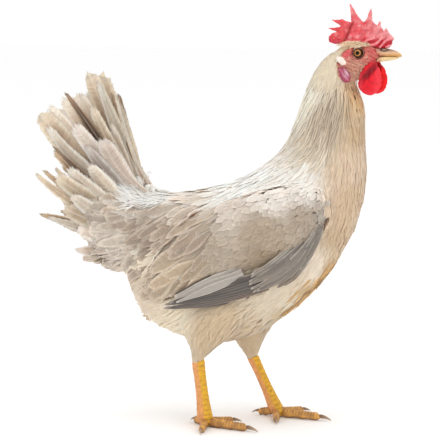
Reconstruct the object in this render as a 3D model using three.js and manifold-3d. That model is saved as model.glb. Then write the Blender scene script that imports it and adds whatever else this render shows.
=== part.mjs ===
// A hen of the light laying type, life size, standing in mid stride with her head up.
// Millimetres, +Z up, +X towards the bill, +Y towards her left side, floor at Z = 0.
// Every form is a closed surface of rings laid along a line. Neighbours are cut by each other with
// a gap of 0.3 mm, so that the pieces meet and never overlap.
import * as THREE from "three";
import { ParametricGeometry } from "three/addons/geometries/ParametricGeometry.js";
import { mergeVertices } from "three/addons/utils/BufferGeometryUtils.js";
import Module from "manifold-3d";

const wasm = await Module();
wasm.setup();

// ---- driving dimensions -------------------------------------------------------------------------
const GAP = 0.3; // between pieces that meet
const FLOOR = 0;
const RIGHT = -1; // sign of Y on her right side
const LEFT = 1;
const SIDES = [
  { name: "right", sign: RIGHT },
  { name: "left", sign: LEFT },
];
const HEAD_PIVOT_X = 130; // the neck's top, about which the head is turned
const HEAD_TURN_DEG = -9; // the head looks a little to her right

// ---- materials ----------------------------------------------------------------------------------
const finish = (color, roughness) => new THREE.MeshStandardMaterial({ color, roughness, metalness: 0 });
const cream = finish(0xd9c7ac, 0.85);
const slate = finish(0x84828a, 0.8);
const wattleRed = finish(0xd8303a, 0.5);
const lobeCream = finish(0xe6c9bd, 0.6);
const billHorn = finish(0xc99a5c, 0.4);
const legYellow = finish(0xe0a02a, 0.55);
const clawHorn = finish(0x8a7358, 0.45);
const eyeGlass = finish(0x7a4a12, 0.1);

// ---- solids -------------------------------------------------------------------------------------
// Turns a closed geometry into a manifold-3d solid, with its flat triangles dropped and its faces out.
function solidOf(geometry) {
  const bare = geometry.clone();
  for (const name of Object.keys(bare.attributes)) {
    if (name !== "position") bare.deleteAttribute(name);
  }
  const merged = mergeVertices(bare, 1e-3);
  const faces = [];
  for (let i = 0; i < merged.index.count; i += 3) {
    const [a, b, c] = [0, 1, 2].map((k) => merged.index.getX(i + k));
    if (a !== b && b !== c && c !== a) faces.push([a, b, c]);
  }
  const build = (list) =>
    new wasm.Manifold(
      new wasm.Mesh({
        numProp: 3,
        vertProperties: new Float32Array(merged.attributes.position.array),
        triVerts: new Uint32Array(list.flat()),
      }),
    );
  const made = build(faces);
  return made.volume() < 0 ? build(faces.map(([a, b, c]) => [a, c, b])) : made;
}

// The largest piece that a cut leaves.
const largest = (solid) => solid.decompose().reduce((a, b) => (b.volume() > a.volume() ? b : a));

const joined = (solids) => solids.reduce((a, b) => a.add(b));

// The named mesh of a solid.
function meshOf(name, solid, material) {
  const data = largest(solid).getMesh();
  const geometry = new THREE.BufferGeometry();
  geometry.setAttribute("position", new THREE.BufferAttribute(data.vertProperties, 3));
  geometry.setIndex(new THREE.BufferAttribute(data.triVerts, 1));
  const mesh = new THREE.Mesh(geometry.toNonIndexed(), material);
  mesh.geometry.computeVertexNormals();
  mesh.name = name;
  return mesh;
}

// A body of rings between two lines of points. Each station has the ring's two ends, a and b, and
// its half width across them. The first and the last station are the closed poles.
function ringBody(stations, { along, around, grow = 0, squareness = 2, egg = 0 }) {
  const line = (key) => new THREE.CatmullRomCurve3(stations.map((s) => new THREE.Vector3(...s[key])));
  const lineA = line("a");
  const lineB = line("b");
  const widths = new THREE.CatmullRomCurve3(stations.map((s) => new THREE.Vector3(s.half, 0, 0)));
  const power = 2 / squareness;
  const rounded = (x) => Math.sign(x) * Math.abs(x) ** power;
  const place = (u, v, target) => {
    const a = lineA.getPoint(v);
    const b = lineB.getPoint(v);
    const half = Math.max(0, widths.getPoint(v).x);
    const long = a.clone().sub(b).multiplyScalar(0.5);
    const reach = long.length();
    const atPole = v < 1e-6 || v > 1 - 1e-6;
    const angle = u * 2 * Math.PI;
    const spine = lineA.getTangent(v).add(lineB.getTangent(v));
    const across = new THREE.Vector3().crossVectors(long, spine).normalize();
    target.copy(a).add(b).multiplyScalar(0.5);
    if (atPole || reach < 1e-6) return;
    const height = reach + grow;
    const width = (half + grow) * (1 + egg * Math.cos(angle));
    target.addScaledVector(long.normalize(), rounded(Math.cos(angle)) * height);
    target.addScaledVector(across, rounded(Math.sin(angle)) * width);
  };
  return solidOf(new ParametricGeometry(place, around, along));
}

// A station of a body that is symmetric about her middle plane, from profile points [x, z].
const midStation = (top, under, half) => ({ a: [top[0], 0, top[1]], b: [under[0], 0, under[1]], half });

// ---- trunk and neck -----------------------------------------------------------------------------
// Profile stations from the rump to the top of the neck: back, underside, half width.
const TRUNK_STATIONS = [
  midStation([-106, 204], [-106, 204], 0), // under the tail
  midStation([-92, 226], [-103, 166], 22), // rump
  midStation([-73, 238], [-94, 138], 34), // fluff
  midStation([-50, 241], [-78, 109], 45),
  midStation([-24, 245], [-45, 91], 53), // saddle and belly
  midStation([3, 252], [-6, 82], 58),
  midStation([27, 261], [33, 91], 60), // back and keel
  midStation([45, 272], [76, 118], 60),
  midStation([60, 285], [112, 154], 56), // shoulders and breast
  midStation([71, 298], [144, 207], 49),
  midStation([78, 315], [156, 259], 41), // foot of the neck
  midStation([85, 334], [154, 300], 34),
  midStation([93, 358], [153, 333], 29),
  midStation([104, 378], [148, 350], 24), // throat
  midStation([120, 392], [144, 361], 20),
  midStation([134, 386], [134, 386], 0),
];
const TRUNK_RINGS = { along: 25, around: 18, squareness: 2.15, egg: 0.04 };
const trunkAndNeck = (grow) => ringBody(TRUNK_STATIONS, { ...TRUNK_RINGS, grow });

// A cut through a body along a chord of the profile: everything ahead of it, or behind it.
function chordPlane(top, under) {
  const chord = new THREE.Vector3(top[0] - under[0], 0, top[1] - under[1]).normalize();
  const normal = new THREE.Vector3(0, 1, 0).cross(chord); // points up the neck
  return { normal: normal.toArray(), offset: normal.dot(new THREE.Vector3(top[0], 0, top[1])) };
}
const ahead = (solid, { normal, offset }) => solid.trimByPlane(normal, offset + GAP / 2);
const behind = (solid, { normal, offset }) =>
  solid.trimByPlane(
    normal.map((n) => -n),
    -(offset - GAP / 2),
  );
const NECK_FOOT = chordPlane([73, 303], [152, 232]);
// The cut under the head, in the head's frame, and the same cut as the neck sees it.
const HEAD_FOOT = chordPlane([-11, 390], [13, 355]);
const HEAD_PIVOT = new THREE.Vector3(HEAD_PIVOT_X, 0, 0);
const HEAD_TURN = new THREE.Euler(0, 0, THREE.MathUtils.degToRad(HEAD_TURN_DEG));
const neckTopNormal = new THREE.Vector3(...HEAD_FOOT.normal).applyEuler(HEAD_TURN);
const NECK_TOP = {
  normal: neckTopNormal.toArray(),
  offset: HEAD_FOOT.offset + neckTopNormal.dot(HEAD_PIVOT),
};

// ---- head, in its own frame: X forward of the pivot, Z from the floor ---------------------------
const HEAD_STATIONS = [
  midStation([-10, 335], [-10, 335], 0),
  midStation([-37, 358], [20, 333], 29), // inside the top of the neck
  midStation([-26, 378], [16, 350], 24),
  midStation([-9, 392], [14, 356], 20),
  midStation([0, 399.5], [18, 363], 18),
  midStation([8, 402.5], [23, 369], 16.5), // crown
  midStation([16, 403], [27, 374.5], 15.8), // eyes
  midStation([24, 401.5], [31, 379], 13.2),
  midStation([31, 398.5], [36, 382], 10.2), // brow
  midStation([36, 396.5], [39.5, 384], 7.8),
  midStation([42, 390], [42, 390], 0),
];
const headForm = (grow) => ringBody(HEAD_STATIONS, { along: 14, around: 12, grow });

const UPPER_BILL_STATIONS = [
  midStation([26, 391], [26, 391], 0),
  midStation([30, 396.6], [30, 387], 8),
  midStation([37, 397], [37, 386.8], 7.4),
  midStation([44, 396.4], [44, 386.9], 6.2),
  midStation([51, 395.4], [51, 387.2], 4.9),
  midStation([57, 393.6], [57, 387.4], 3.4),
  midStation([61, 391.2], [61, 387.2], 1.8),
  midStation([63, 388.2], [63, 388.2], 0), // the hooked tip
];
const LOWER_BILL_STATIONS = [
  midStation([27, 384], [27, 384], 0),
  midStation([31, 388.2], [31, 381.2], 7.4),
  midStation([38, 388.2], [38, 382], 6.2),
  midStation([46, 388.4], [46, 383], 5),
  midStation([54, 388.4], [54, 384.2], 3.5),
  midStation([58, 388], [58, 385.4], 2),
  midStation([60, 386.3], [60, 386.3], 0),
];
const BILL_RINGS = { along: 8, around: 8 };
const upperBill = (grow) => ringBody(UPPER_BILL_STATIONS, { ...BILL_RINGS, grow });
const lowerBill = (grow) => ringBody(LOWER_BILL_STATIONS, { ...BILL_RINGS, grow });

const EYE = { x: 19.5, y: 10.6, z: 391.4, radius: 6.6 };
function eyeBall(sign, grow) {
  const ball = new THREE.SphereGeometry(EYE.radius + grow, 10, 7);
  return solidOf(ball.translate(EYE.x, sign * EYE.y, EYE.z));
}

// The single comb: a thick blade along the crown with four main points, then a low one, two thin
// rays and a lobe behind them.
const COMB = {
  thickness: 4,
  bevel: 0.9,
  front: [47, 397],
  brow: [52.5, 407],
  points: [
    { tip: [45.4, 417], gap: [42.4, 413.5] },
    { tip: [39, 424], gap: [33.8, 418.6] },
    { tip: [29.4, 436.5], gap: [20.8, 421.8] },
    { tip: [6.8, 441.6], gap: [8.4, 421.8] },
    { tip: [-1.5, 425.4], gap: [-4.5, 424.6] },
    { tip: [-12.4, 425], gap: [-1, 417.6] },
    { tip: [-15.6, 416], gap: [-5, 412.2] },
  ],
  lobe: [-13.5, 406.5],
  heel: [-8, 400],
  base: [8, 398],
  flopFrom: 6, // behind this the blade leans to her right
  flopReach: 24,
  flopOut: 5,
};
function combForm() {
  const shape = new THREE.Shape();
  shape.moveTo(...COMB.base);
  shape.lineTo(30, 394);
  shape.lineTo(...COMB.front);
  shape.quadraticCurveTo(COMB.front[0] + 6, COMB.front[1] + 4, ...COMB.brow);
  let last = COMB.brow;
  for (const { tip, gap } of COMB.points) {
    // each point rises in a hollow curve from the gap before it, and falls into the next gap
    shape.quadraticCurveTo((last[0] + tip[0]) / 2 - 0.8, (last[1] + tip[1]) / 2 - 1, ...tip);
    shape.quadraticCurveTo((gap[0] + tip[0]) / 2 + 0.8, (gap[1] + tip[1]) / 2 - 1, ...gap);
    last = gap;
  }
  shape.quadraticCurveTo(-12, 412, ...COMB.lobe);
  shape.quadraticCurveTo(-13, 400, ...COMB.heel);
  shape.quadraticCurveTo(0, 402, ...COMB.base);
  const blade = new THREE.ExtrudeGeometry(shape, {
    depth: COMB.thickness - 2 * COMB.bevel,
    bevelThickness: COMB.bevel,
    bevelSize: 0.5,
    bevelOffset: -0.5,
    bevelSegments: 1,
    curveSegments: 2,
    steps: 1,
  });
  blade.rotateX(Math.PI / 2).translate(0, (COMB.thickness - 2 * COMB.bevel) / 2, 0);
  const place = blade.attributes.position;
  for (let i = 0; i < place.count; i++) {
    const behindFold = Math.max(0, COMB.flopFrom - place.getX(i)) / COMB.flopReach;
    place.setY(i, place.getY(i) + RIGHT * COMB.flopOut * behindFold);
  }
  return solidOf(blade);
}

// A wattle: a flat pear of skin that hangs from the jaw. Rings from the jaw down, each with its
// ends fore and aft.
const WATTLE_RINGS = [
  { z: 383, x: 33, reach: 0, out: 6, half: 0 },
  { z: 381, x: 33, reach: 6.5, out: 6.5, half: 2.2 },
  { z: 374, x: 32.5, reach: 10, out: 8.5, half: 2.6 },
  { z: 366, x: 32.3, reach: 12.4, out: 10, half: 2.8 },
  { z: 358, x: 31.5, reach: 12.6, out: 11, half: 2.7 },
  { z: 351.5, x: 32, reach: 8.8, out: 11.6, half: 2.2 },
  { z: 347.8, x: 32.8, reach: 0, out: 11.8, half: 0 },
];
function wattleForm(sign) {
  const stations = WATTLE_RINGS.map(({ z, x, reach, out, half }) => ({
    a: [x + reach, sign * out, z],
    b: [x - reach, sign * out, z],
    half,
  }));
  return ringBody(stations, { along: 8, around: 8 });
}

const EARLOBE = { x: 5, y: 17.6, z: 379.5, long: 11.5, wide: 6, thick: 3.4, lean: 0.32 };
function earlobeForm(sign) {
  const lobe = new THREE.SphereGeometry(1, 10, 6);
  lobe.scale(EARLOBE.wide, EARLOBE.thick, EARLOBE.long).rotateY(-EARLOBE.lean);
  return solidOf(lobe.translate(EARLOBE.x, sign * EARLOBE.y, EARLOBE.z));
}

// ---- legs ---------------------------------------------------------------------------------------
// Each leg, from the thigh in the belly to the ball of the foot: how deep its thigh is beside the
// other, how far the thigh bows forward, and the way each toe points, in degrees to her left.
const LEGS = {
  right: {
    sign: RIGHT,
    thighTop: [10, -36, 128],
    thighDeep: 1,
    thighBow: 4,
    hock: [-15.5, -36, 71],
    ball: [-8, -35, 9],
    toes: { hind: 134, inner: 36, middle: -18, outer: -84 },
  },
  left: {
    sign: LEFT,
    thighTop: [24, 36, 126],
    thighDeep: 0.85,
    thighBow: 0,
    hock: [29.2, 31, 64],
    ball: [56.2, 27, 9],
    toes: { hind: 166, inner: -79, middle: -12.5, outer: 42 },
  },
};
const TOES = {
  hind: { length: 21, half: 3.5, claw: 9, rootHeight: 11, tipHeight: 3.8 },
  inner: { length: 33, half: 4.2, claw: 10, rootHeight: 8, tipHeight: 3.4 },
  middle: { length: 52, half: 4.8, claw: 12, rootHeight: 8, tipHeight: 3.6 },
  outer: { length: 35, half: 4.1, claw: 9, rootHeight: 8, tipHeight: 3.4 },
};
const HOCK_HALF = 7.2;
const SHANK = { halfDeep: 6.7, halfWide: 5.2, ballHalf: 8.6 };

// A ring body about a straight or bent centre line: rings are upright ellipses across it.
function limb(rings, { along, around, grow = 0 }) {
  const stations = rings.map(({ at, deep, wide, lie }) => {
    const fore = new THREE.Vector3(...lie).multiplyScalar(deep);
    const centre = new THREE.Vector3(...at);
    return {
      a: centre.clone().add(fore).toArray(),
      b: centre.clone().sub(fore).toArray(),
      half: wide,
    };
  });
  return ringBody(stations, { along, around, grow });
}
const between = (p, q, share) => p.map((value, i) => value + (q[i] - value) * share);

function thighForm({ thighTop, hock, thighDeep, thighBow }, grow) {
  const lie = [1, 0, 0.25];
  const ring = (share, deep, wide) => {
    const [x, y, z] = between(thighTop, hock, share);
    const bow = thighBow * Math.sin(Math.PI * THREE.MathUtils.clamp(share, 0, 1));
    return { at: [x + bow, y, z], deep: deep * thighDeep, wide, lie };
  };
  const rings = [
    ring(-0.2, 0, 0),
    ring(0, 42, 25),
    ring(0.3, 37, 24),
    ring(0.55, 26.5, 20),
    ring(0.75, 17, 14),
    ring(0.92, 10, 9),
    ring(1.02, 7.4, 7),
    ring(1.05, 0, 0),
  ];
  return limb(rings, { along: 10, around: 12, grow });
}

function shankForm({ hock, ball }, grow) {
  const lie = [1, 0, 0];
  const at = (share) => between(hock, ball, share);
  const rings = [
    { at: at(-0.16), deep: 0, wide: 0, lie },
    { at: at(-0.1), deep: HOCK_HALF * 0.8, wide: HOCK_HALF * 0.8, lie },
    { at: at(0.02), deep: HOCK_HALF, wide: HOCK_HALF * 0.86, lie },
    { at: at(0.2), deep: SHANK.halfDeep, wide: SHANK.halfWide, lie },
    { at: at(0.55), deep: SHANK.halfDeep, wide: SHANK.halfWide, lie },
    { at: at(0.8), deep: SHANK.halfDeep * 1.12, wide: SHANK.halfWide * 1.2, lie },
    { at: at(0.97), deep: SHANK.ballHalf, wide: SHANK.ballHalf * 0.95, lie },
    { at: at(1.1), deep: SHANK.ballHalf * 0.85, wide: SHANK.ballHalf * 0.85, lie },
    { at: [ball[0], ball[1], FLOOR - 1.5], deep: 0, wide: 0, lie },
  ];
  return limb(rings, { along: 12, around: 9, grow });
}

// The point at a distance from the ball of the foot along a toe, at a height.
function alongToe({ ball }, turnDeg, distance, height) {
  const turn = THREE.MathUtils.degToRad(turnDeg);
  return [ball[0] + distance * Math.cos(turn), ball[1] + distance * Math.sin(turn), height];
}

// A toe with a pad under each of its joints. It is laid 0.8 mm into the floor and cut there flat.
const TOE_PADS = [0.3, 0.58, 0.86];
function toeForm(leg, toe, grow) {
  const { length, half, rootHeight, tipHeight } = TOES[toe];
  const turn = leg.toes[toe];
  const lie = [0, 0, 1];
  const steps = 10;
  const rings = [{ at: alongToe(leg, turn, 0, rootHeight), deep: 0, wide: 0, lie }];
  for (let i = 1; i < steps; i++) {
    const share = i / steps;
    const pad = Math.max(...TOE_PADS.map((p) => Math.exp(-(((share - p) / 0.09) ** 2))));
    const top = THREE.MathUtils.lerp(rootHeight + 3, tipHeight + half, share ** 0.6);
    const raised = Math.max(0, 1 - 2 * share) * (rootHeight - 8); // the hind toe slopes down
    const under = THREE.MathUtils.lerp(0.9, -0.8, pad) + raised;
    const wide = half * (1.02 - 0.28 * share) * (0.93 + 0.1 * pad);
    rings.push({
      at: alongToe(leg, turn, share * length, (top + under) / 2),
      deep: (top - under) / 2,
      wide,
      lie,
    });
  }
  rings.push({ at: alongToe(leg, turn, length + 1, tipHeight), deep: 0, wide: 0, lie });
  return limb(rings, { along: 10, around: 7, grow });
}

// A claw: a horn cone that leaves the toe's end and bends down to just above the floor.
function clawForm(leg, toe) {
  const { length, claw, half, tipHeight } = TOES[toe];
  const turn = leg.toes[toe];
  const lie = [0, 0, 1];
  const ring = (share, height, deep, wide) => ({
    at: alongToe(leg, turn, length - 4 + share * (claw + 4), height),
    deep,
    wide,
    lie,
  });
  const rings = [
    ring(0, tipHeight + 0.8, 0, 0),
    ring(0.12, tipHeight + 1, half * 0.5, half * 0.42),
    ring(0.4, tipHeight + 0.9, half * 0.44, half * 0.38),
    ring(0.7, tipHeight - 0.4, half * 0.3, half * 0.28),
    ring(0.9, 1.9, half * 0.16, half * 0.18),
    ring(1, 0.8, 0, 0),
  ];
  return limb(rings, { along: 6, around: 6 });
}

// ---- wings --------------------------------------------------------------------------------------
// The folded wing from the wrist back: its upper and lower edge in profile, how far its middle
// stands from her middle plane, and half its thickness.
const WING_STATIONS = [
  { top: [130, 230], low: [130, 230], out: 43, half: 0 },
  { top: [122, 250], low: [122, 212], out: 46, half: 12 },
  { top: [101, 261], low: [97, 190], out: 52, half: 16 },
  { top: [74, 259], low: [71, 176], out: 55, half: 16.5 },
  { top: [44, 251], low: [43, 165], out: 56, half: 16 },
  { top: [14, 241], low: [13, 157], out: 55, half: 15 },
  { top: [-16, 227], low: [-17, 147], out: 53, half: 12 },
  { top: [-44, 204], low: [-45, 137], out: 50, half: 8 },
  { top: [-68, 160], low: [-68, 150], out: 44, half: 0 },
];
function wingForm(sign, grow) {
  const stations = WING_STATIONS.map(({ top, low, out, half }) => ({
    a: [top[0], sign * out, top[1]],
    b: [low[0], sign * out, low[1]],
    half,
  }));
  return ringBody(stations, { along: 11, around: 12, squareness: 2.1, grow });
}

// The long flight feathers, folded to a curved blade that shows below the wing.
const FLIGHT_STATIONS = [
  { top: [124, 228], low: [124, 228], out: 55, half: 0 },
  { top: [121, 222], low: [116, 199], out: 59, half: 4.5 },
  { top: [102, 202], low: [96, 167], out: 64, half: 5.5 },
  { top: [74, 186], low: [68, 152], out: 66, half: 5.5 },
  { top: [42, 176], low: [38, 142], out: 66, half: 5.5 },
  { top: [8, 166], low: [6, 132], out: 64, half: 5.5 },
  { top: [-24, 150], low: [-24, 125], out: 59, half: 5 },
  { top: [-50, 134], low: [-46, 121], out: 54, half: 4 },
  { top: [-60, 126], low: [-60, 126], out: 49, half: 0 },
];
function flightForm(sign, grow) {
  const stations = FLIGHT_STATIONS.map(({ top, low, out, half }) => ({
    a: [top[0], sign * out, top[1]],
    b: [low[0], sign * (out - 3), low[1]],
    half,
  }));
  return ringBody(stations, { along: 11, around: 8, squareness: 2.4, grow });
}

// ---- tail ---------------------------------------------------------------------------------------
// The coverts round the tail's root, and the fan of tail feathers that stands out of them.
const COVERT_STATIONS = [
  midStation([-60, 200], [-60, 200], 0),
  midStation([-72, 240], [-84, 152], 32),
  midStation([-96, 250], [-108, 155], 34),
  midStation([-122, 256], [-134, 168], 30),
  midStation([-148, 252], [-156, 190], 22),
  midStation([-170, 244], [-174, 212], 12),
  midStation([-182, 230], [-182, 230], 0),
];
const covertForm = () => ringBody(COVERT_STATIONS, { along: 7, around: 11 });

// Tail feathers of one side, top pair first: root and tip in profile, how far root and tip stand
// from the middle plane, half the vane's width, and how far the shaft sags between its ends.
const TAIL_FEATHERS = [
  { root: [-70, 237], tip: [-119, 342], rootOut: 3, tipOut: 5, half: 7, sag: 8 },
  { root: [-76, 230], tip: [-139, 367], rootOut: 4, tipOut: 9, half: 14, sag: 2 },
  { root: [-82, 226], tip: [-165, 345], rootOut: 6, tipOut: 16, half: 13, sag: 0 },
  { root: [-88, 222], tip: [-188, 325], rootOut: 8, tipOut: 24, half: 15, sag: 2 },
  { root: [-92, 216], tip: [-172, 285], rootOut: 10, tipOut: 29, half: 9, sag: 5 },
  { root: [-96, 212], tip: [-191, 262], rootOut: 11, tipOut: 34, half: 8, sag: 8 },
  { root: [-98, 204], tip: [-187, 219], rootOut: 12, tipOut: 33, half: 8, sag: 7 },
  { root: [-96, 190], tip: [-151, 180], rootOut: 12, tipOut: 26, half: 10, sag: 3 },
];
const FEATHER_HALF_THICK = 1.5;
function tailFeather({ root, tip, rootOut, tipOut, half, sag }, sign) {
  const from = new THREE.Vector3(root[0], sign * rootOut, root[1]);
  const to = new THREE.Vector3(tip[0], sign * tipOut, tip[1]);
  const run = to.clone().sub(from).normalize();
  // the vane stands nearly upright along the middle plane, and leans out at its lower edge
  const up = new THREE.Vector3(-run.z, 0, run.x).normalize().multiplyScalar(-1);
  const edge = up.clone().addScaledVector(new THREE.Vector3(0, -sign, 0), 0.45).normalize();
  const profile = [0, 0.45, 0.8, 1, 1, 0.78, 0];
  const shares = [0, 0.08, 0.35, 0.6, 0.82, 0.94, 1];
  const stations = shares.map((share, i) => {
    const centre = from.clone().lerp(to, share);
    centre.addScaledVector(up, -sag * Math.sin(Math.PI * share));
    const reach = edge.clone().multiplyScalar(half * profile[i]);
    return {
      a: centre.clone().add(reach).toArray(),
      b: centre.clone().sub(reach).toArray(),
      half: profile[i] ? FEATHER_HALF_THICK : 0,
    };
  });
  return ringBody(stations, { along: 6, around: 6 });
}

// ---- the hen ------------------------------------------------------------------------------------
const hen = new THREE.Group();
const bodyMeshes = [];
const whole = trunkAndNeck(0);
const wholeGrown = trunkAndNeck(GAP);

bodyMeshes.push(meshOf("trunk", behind(whole, NECK_FOOT), cream));
bodyMeshes.push(meshOf("neck", behind(ahead(whole, NECK_FOOT), NECK_TOP), cream));

const feathers = SIDES.flatMap(({ sign }) => TAIL_FEATHERS.map((feather) => tailFeather(feather, sign)));
const tail = joined([covertForm(), ...feathers]).subtract(wholeGrown);
bodyMeshes.push(meshOf("tail", tail, cream));

for (const { name, sign } of SIDES) {
  const leg = LEGS[name];
  const thigh = thighForm(leg, 0);
  const thighGrown = thighForm(leg, GAP);
  const shank = shankForm(leg, 0);
  const shankGrown = shankForm(leg, GAP);
  const flightCut = flightForm(sign, GAP);
  const wing = wingForm(sign, 0).subtract(wholeGrown);
  const flight = flightForm(sign, 0).subtract(wholeGrown).subtract(thighGrown);
  bodyMeshes.push(meshOf(`wing_${name}`, wing.subtract(flightCut).subtract(thighGrown), cream));
  bodyMeshes.push(meshOf(`flight_feathers_${name}`, flight, slate));
  bodyMeshes.push(meshOf(`thigh_${name}`, thigh.subtract(wholeGrown), cream));
  const standing = shank.subtract(thighGrown).trimByPlane([0, 0, 1], FLOOR);
  bodyMeshes.push(meshOf(`shank_${name}`, standing, legYellow));
  let taken = shankGrown;
  for (const toe of Object.keys(TOES)) {
    const toeSolid = toeForm(leg, toe, 0).subtract(taken).trimByPlane([0, 0, 1], FLOOR);
    const toeGrown = toeForm(leg, toe, GAP);
    bodyMeshes.push(meshOf(`toe_${toe}_${name}`, toeSolid, legYellow));
    const claw = clawForm(leg, toe).subtract(toeGrown).trimByPlane([0, 0, 1], FLOOR + 0.4);
    bodyMeshes.push(meshOf(`claw_${toe}_${name}`, claw, clawHorn));
    taken = taken.add(toeGrown);
  }
}
hen.add(...bodyMeshes);

// The head's pieces are built in the head's frame and turned with it about the top of the neck.
const head = new THREE.Group();
head.position.copy(HEAD_PIVOT);
head.rotation.copy(HEAD_TURN);
const headGrown = headForm(GAP);
const upperGrown = upperBill(GAP);
const lowerGrown = lowerBill(GAP);
const eyeSockets = SIDES.map(({ sign }) => eyeBall(sign, GAP));
let skull = ahead(headForm(0), HEAD_FOOT);
for (const socket of eyeSockets) skull = skull.subtract(socket);
head.add(meshOf("head", skull, cream));
head.add(meshOf("bill_upper", upperBill(0).subtract(headGrown), billHorn));
head.add(meshOf("bill_lower", lowerBill(0).subtract(headGrown).subtract(upperGrown), billHorn));
head.add(meshOf("comb", combForm().subtract(headGrown).subtract(upperGrown), wattleRed));
for (const { name, sign } of SIDES) {
  head.add(meshOf(`eye_${name}`, eyeBall(sign, 0), eyeGlass));
  head.add(meshOf(`earlobe_${name}`, earlobeForm(sign).subtract(headGrown), lobeCream));
  const wattle = wattleForm(sign).subtract(headGrown).subtract(lowerGrown);
  head.add(meshOf(`wattle_${name}`, wattle, wattleRed));
}
hen.add(head);

// The frame's origin is on the floor, under the middle of the bird's box.
hen.updateMatrixWorld(true);
const centre = new THREE.Box3().setFromObject(hen).getCenter(new THREE.Vector3());
hen.position.set(-centre.x, -centre.y, 0);

export default hen;
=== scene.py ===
"""A standing hen with pale plumage, life size, as a museum shows her: one skin, a coat of solid vanes laid
over it, and separate comb, wattles, ear lobes, bill, eyes, legs and claws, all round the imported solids."""

import contextlib
import math

import bpy
import numpy as np
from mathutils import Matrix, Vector, noise
from mathutils.bvhtree import BVHTree


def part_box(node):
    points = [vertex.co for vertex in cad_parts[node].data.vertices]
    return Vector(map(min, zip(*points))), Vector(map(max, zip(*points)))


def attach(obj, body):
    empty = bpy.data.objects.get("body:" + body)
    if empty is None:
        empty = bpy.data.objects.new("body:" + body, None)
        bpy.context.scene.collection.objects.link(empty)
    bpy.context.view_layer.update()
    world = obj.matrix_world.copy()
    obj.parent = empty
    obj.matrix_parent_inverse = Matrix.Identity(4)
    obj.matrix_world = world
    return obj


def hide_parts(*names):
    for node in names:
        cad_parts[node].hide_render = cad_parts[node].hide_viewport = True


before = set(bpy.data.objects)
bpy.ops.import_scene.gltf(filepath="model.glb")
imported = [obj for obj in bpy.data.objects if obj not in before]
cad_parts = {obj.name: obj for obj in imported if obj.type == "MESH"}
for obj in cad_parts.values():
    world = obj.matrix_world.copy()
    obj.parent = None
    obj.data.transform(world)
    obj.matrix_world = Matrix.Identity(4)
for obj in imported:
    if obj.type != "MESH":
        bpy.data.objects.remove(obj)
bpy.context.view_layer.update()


# ---------------------------------------------------------------------------------------------------
# The studio. The hen stands on a plain white floor that runs on into the light, under broad soft
# lamps, and the camera stands low in front of her right side. Places on the bird are millimetres
# from a mark on the floor under the hips: x towards the bill, y to her left and z up.
trunk_low, trunk_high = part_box("trunk")
vent_to_hips = 0.106
hip_mark = Vector((trunk_low.x + vent_to_hips, (trunk_low.y + trunk_high.y) / 2, 0.0))


def place(x, y, z):
    """A spot on the bird, given in millimetres from the hip mark, in the row frame."""
    return hip_mark + Vector((x, y, z)) / 1000


camera_bearing = math.radians(12)
camera_reach = 2.3
camera_high, aim_high, aim_forward = 520, 213.7, 0.5
camera_forward = Vector((-math.sin(camera_bearing), math.cos(camera_bearing), 0))
camera_aim = place(aim_forward, 0, aim_high)
camera = bpy.data.objects.new("camera", bpy.data.cameras.new("camera"))
camera.location = place(aim_forward, 0, camera_high) - camera_forward * camera_reach
camera.rotation_euler = (camera_aim - camera.location).to_track_quat("-Z", "Y").to_euler()
camera.data.sensor_width = 36
camera.data.lens = 180.8
camera.data.clip_end = 50
bpy.context.scene.collection.objects.link(camera)
bpy.context.scene.camera = camera


def tint(red, green, blue):
    """A screen colour, 0 to 255, as linear red, green and blue."""
    shares = np.array([red, green, blue], float) / 255
    return np.where(shares <= 0.04045, shares / 12.92, ((shares + 0.055) / 1.055) ** 2.4)


bpy.ops.object.select_all(action="DESELECT")
bpy.ops.mesh.primitive_plane_add(size=14, location=(0, 0, 0))
floor = bpy.context.object
floor.name = "floor"
floor_paint = bpy.data.materials.new("floor_paint")
floor_paint.use_nodes = True
floor_shader = floor_paint.node_tree.nodes["Principled BSDF"]
floor_shader.inputs["Base Color"].default_value = (0.985, 0.985, 0.985, 1)
floor_shader.inputs["Roughness"].default_value = 0.9
floor_shader.inputs["Specular IOR Level"].default_value = 0.1
floor.data.materials.append(floor_paint)

studio_air = bpy.data.worlds.new("studio_air")
studio_air.use_nodes = True
studio_glow = studio_air.node_tree.nodes["Background"]
studio_glow.inputs["Color"].default_value = (1.0, 1.0, 1.0, 1)
studio_glow.inputs["Strength"].default_value = 1.0
bpy.context.scene.world = studio_air
bpy.context.scene.view_settings.view_transform = "Standard"


def soft_lamp(name, spot, aim, size, power):
    """A square soft box at one spot of the studio, turned to another, given in metres."""
    lamp = bpy.data.objects.new(name, bpy.data.lights.new(name, "AREA"))
    lamp.data.shape = "SQUARE"
    lamp.data.size = size
    lamp.data.energy = power
    lamp.location = spot
    lamp.rotation_euler = (Vector(aim) - Vector(spot)).to_track_quat("-Z", "Y").to_euler()
    bpy.context.scene.collection.objects.link(lamp)


lamp_aim = (0, 0, 0.2)
soft_lamp("roof_light", (0.1, -0.2, 2.4), lamp_aim, size=1.6, power=14)
soft_lamp("front_light", (1.5, -2.2, 1.7), lamp_aim, size=1.2, power=9)


# ---------------------------------------------------------------------------------------------------
# The skin. One closed skin runs from the hocks to the bill and over the folded wings. It is grown
# round merged copies of the flesh solids, sinks in by the depth of the coat, and stays at the
# surface on the naked face, where it has its lids, brow and cheek folds.
def hold(piece):
    """Leaves this piece alone selected and active."""
    bpy.ops.object.select_all(action="DESELECT")
    piece.select_set(True)
    bpy.context.view_layer.objects.active = piece


@contextlib.contextmanager
def edited(piece):
    """Holds a piece in edit mode with all of it selected, and then leaves edit mode."""
    hold(piece)
    bpy.ops.object.mode_set(mode="EDIT")
    bpy.ops.mesh.select_all(action="SELECT")
    yield
    bpy.ops.object.mode_set(mode="OBJECT")


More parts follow.
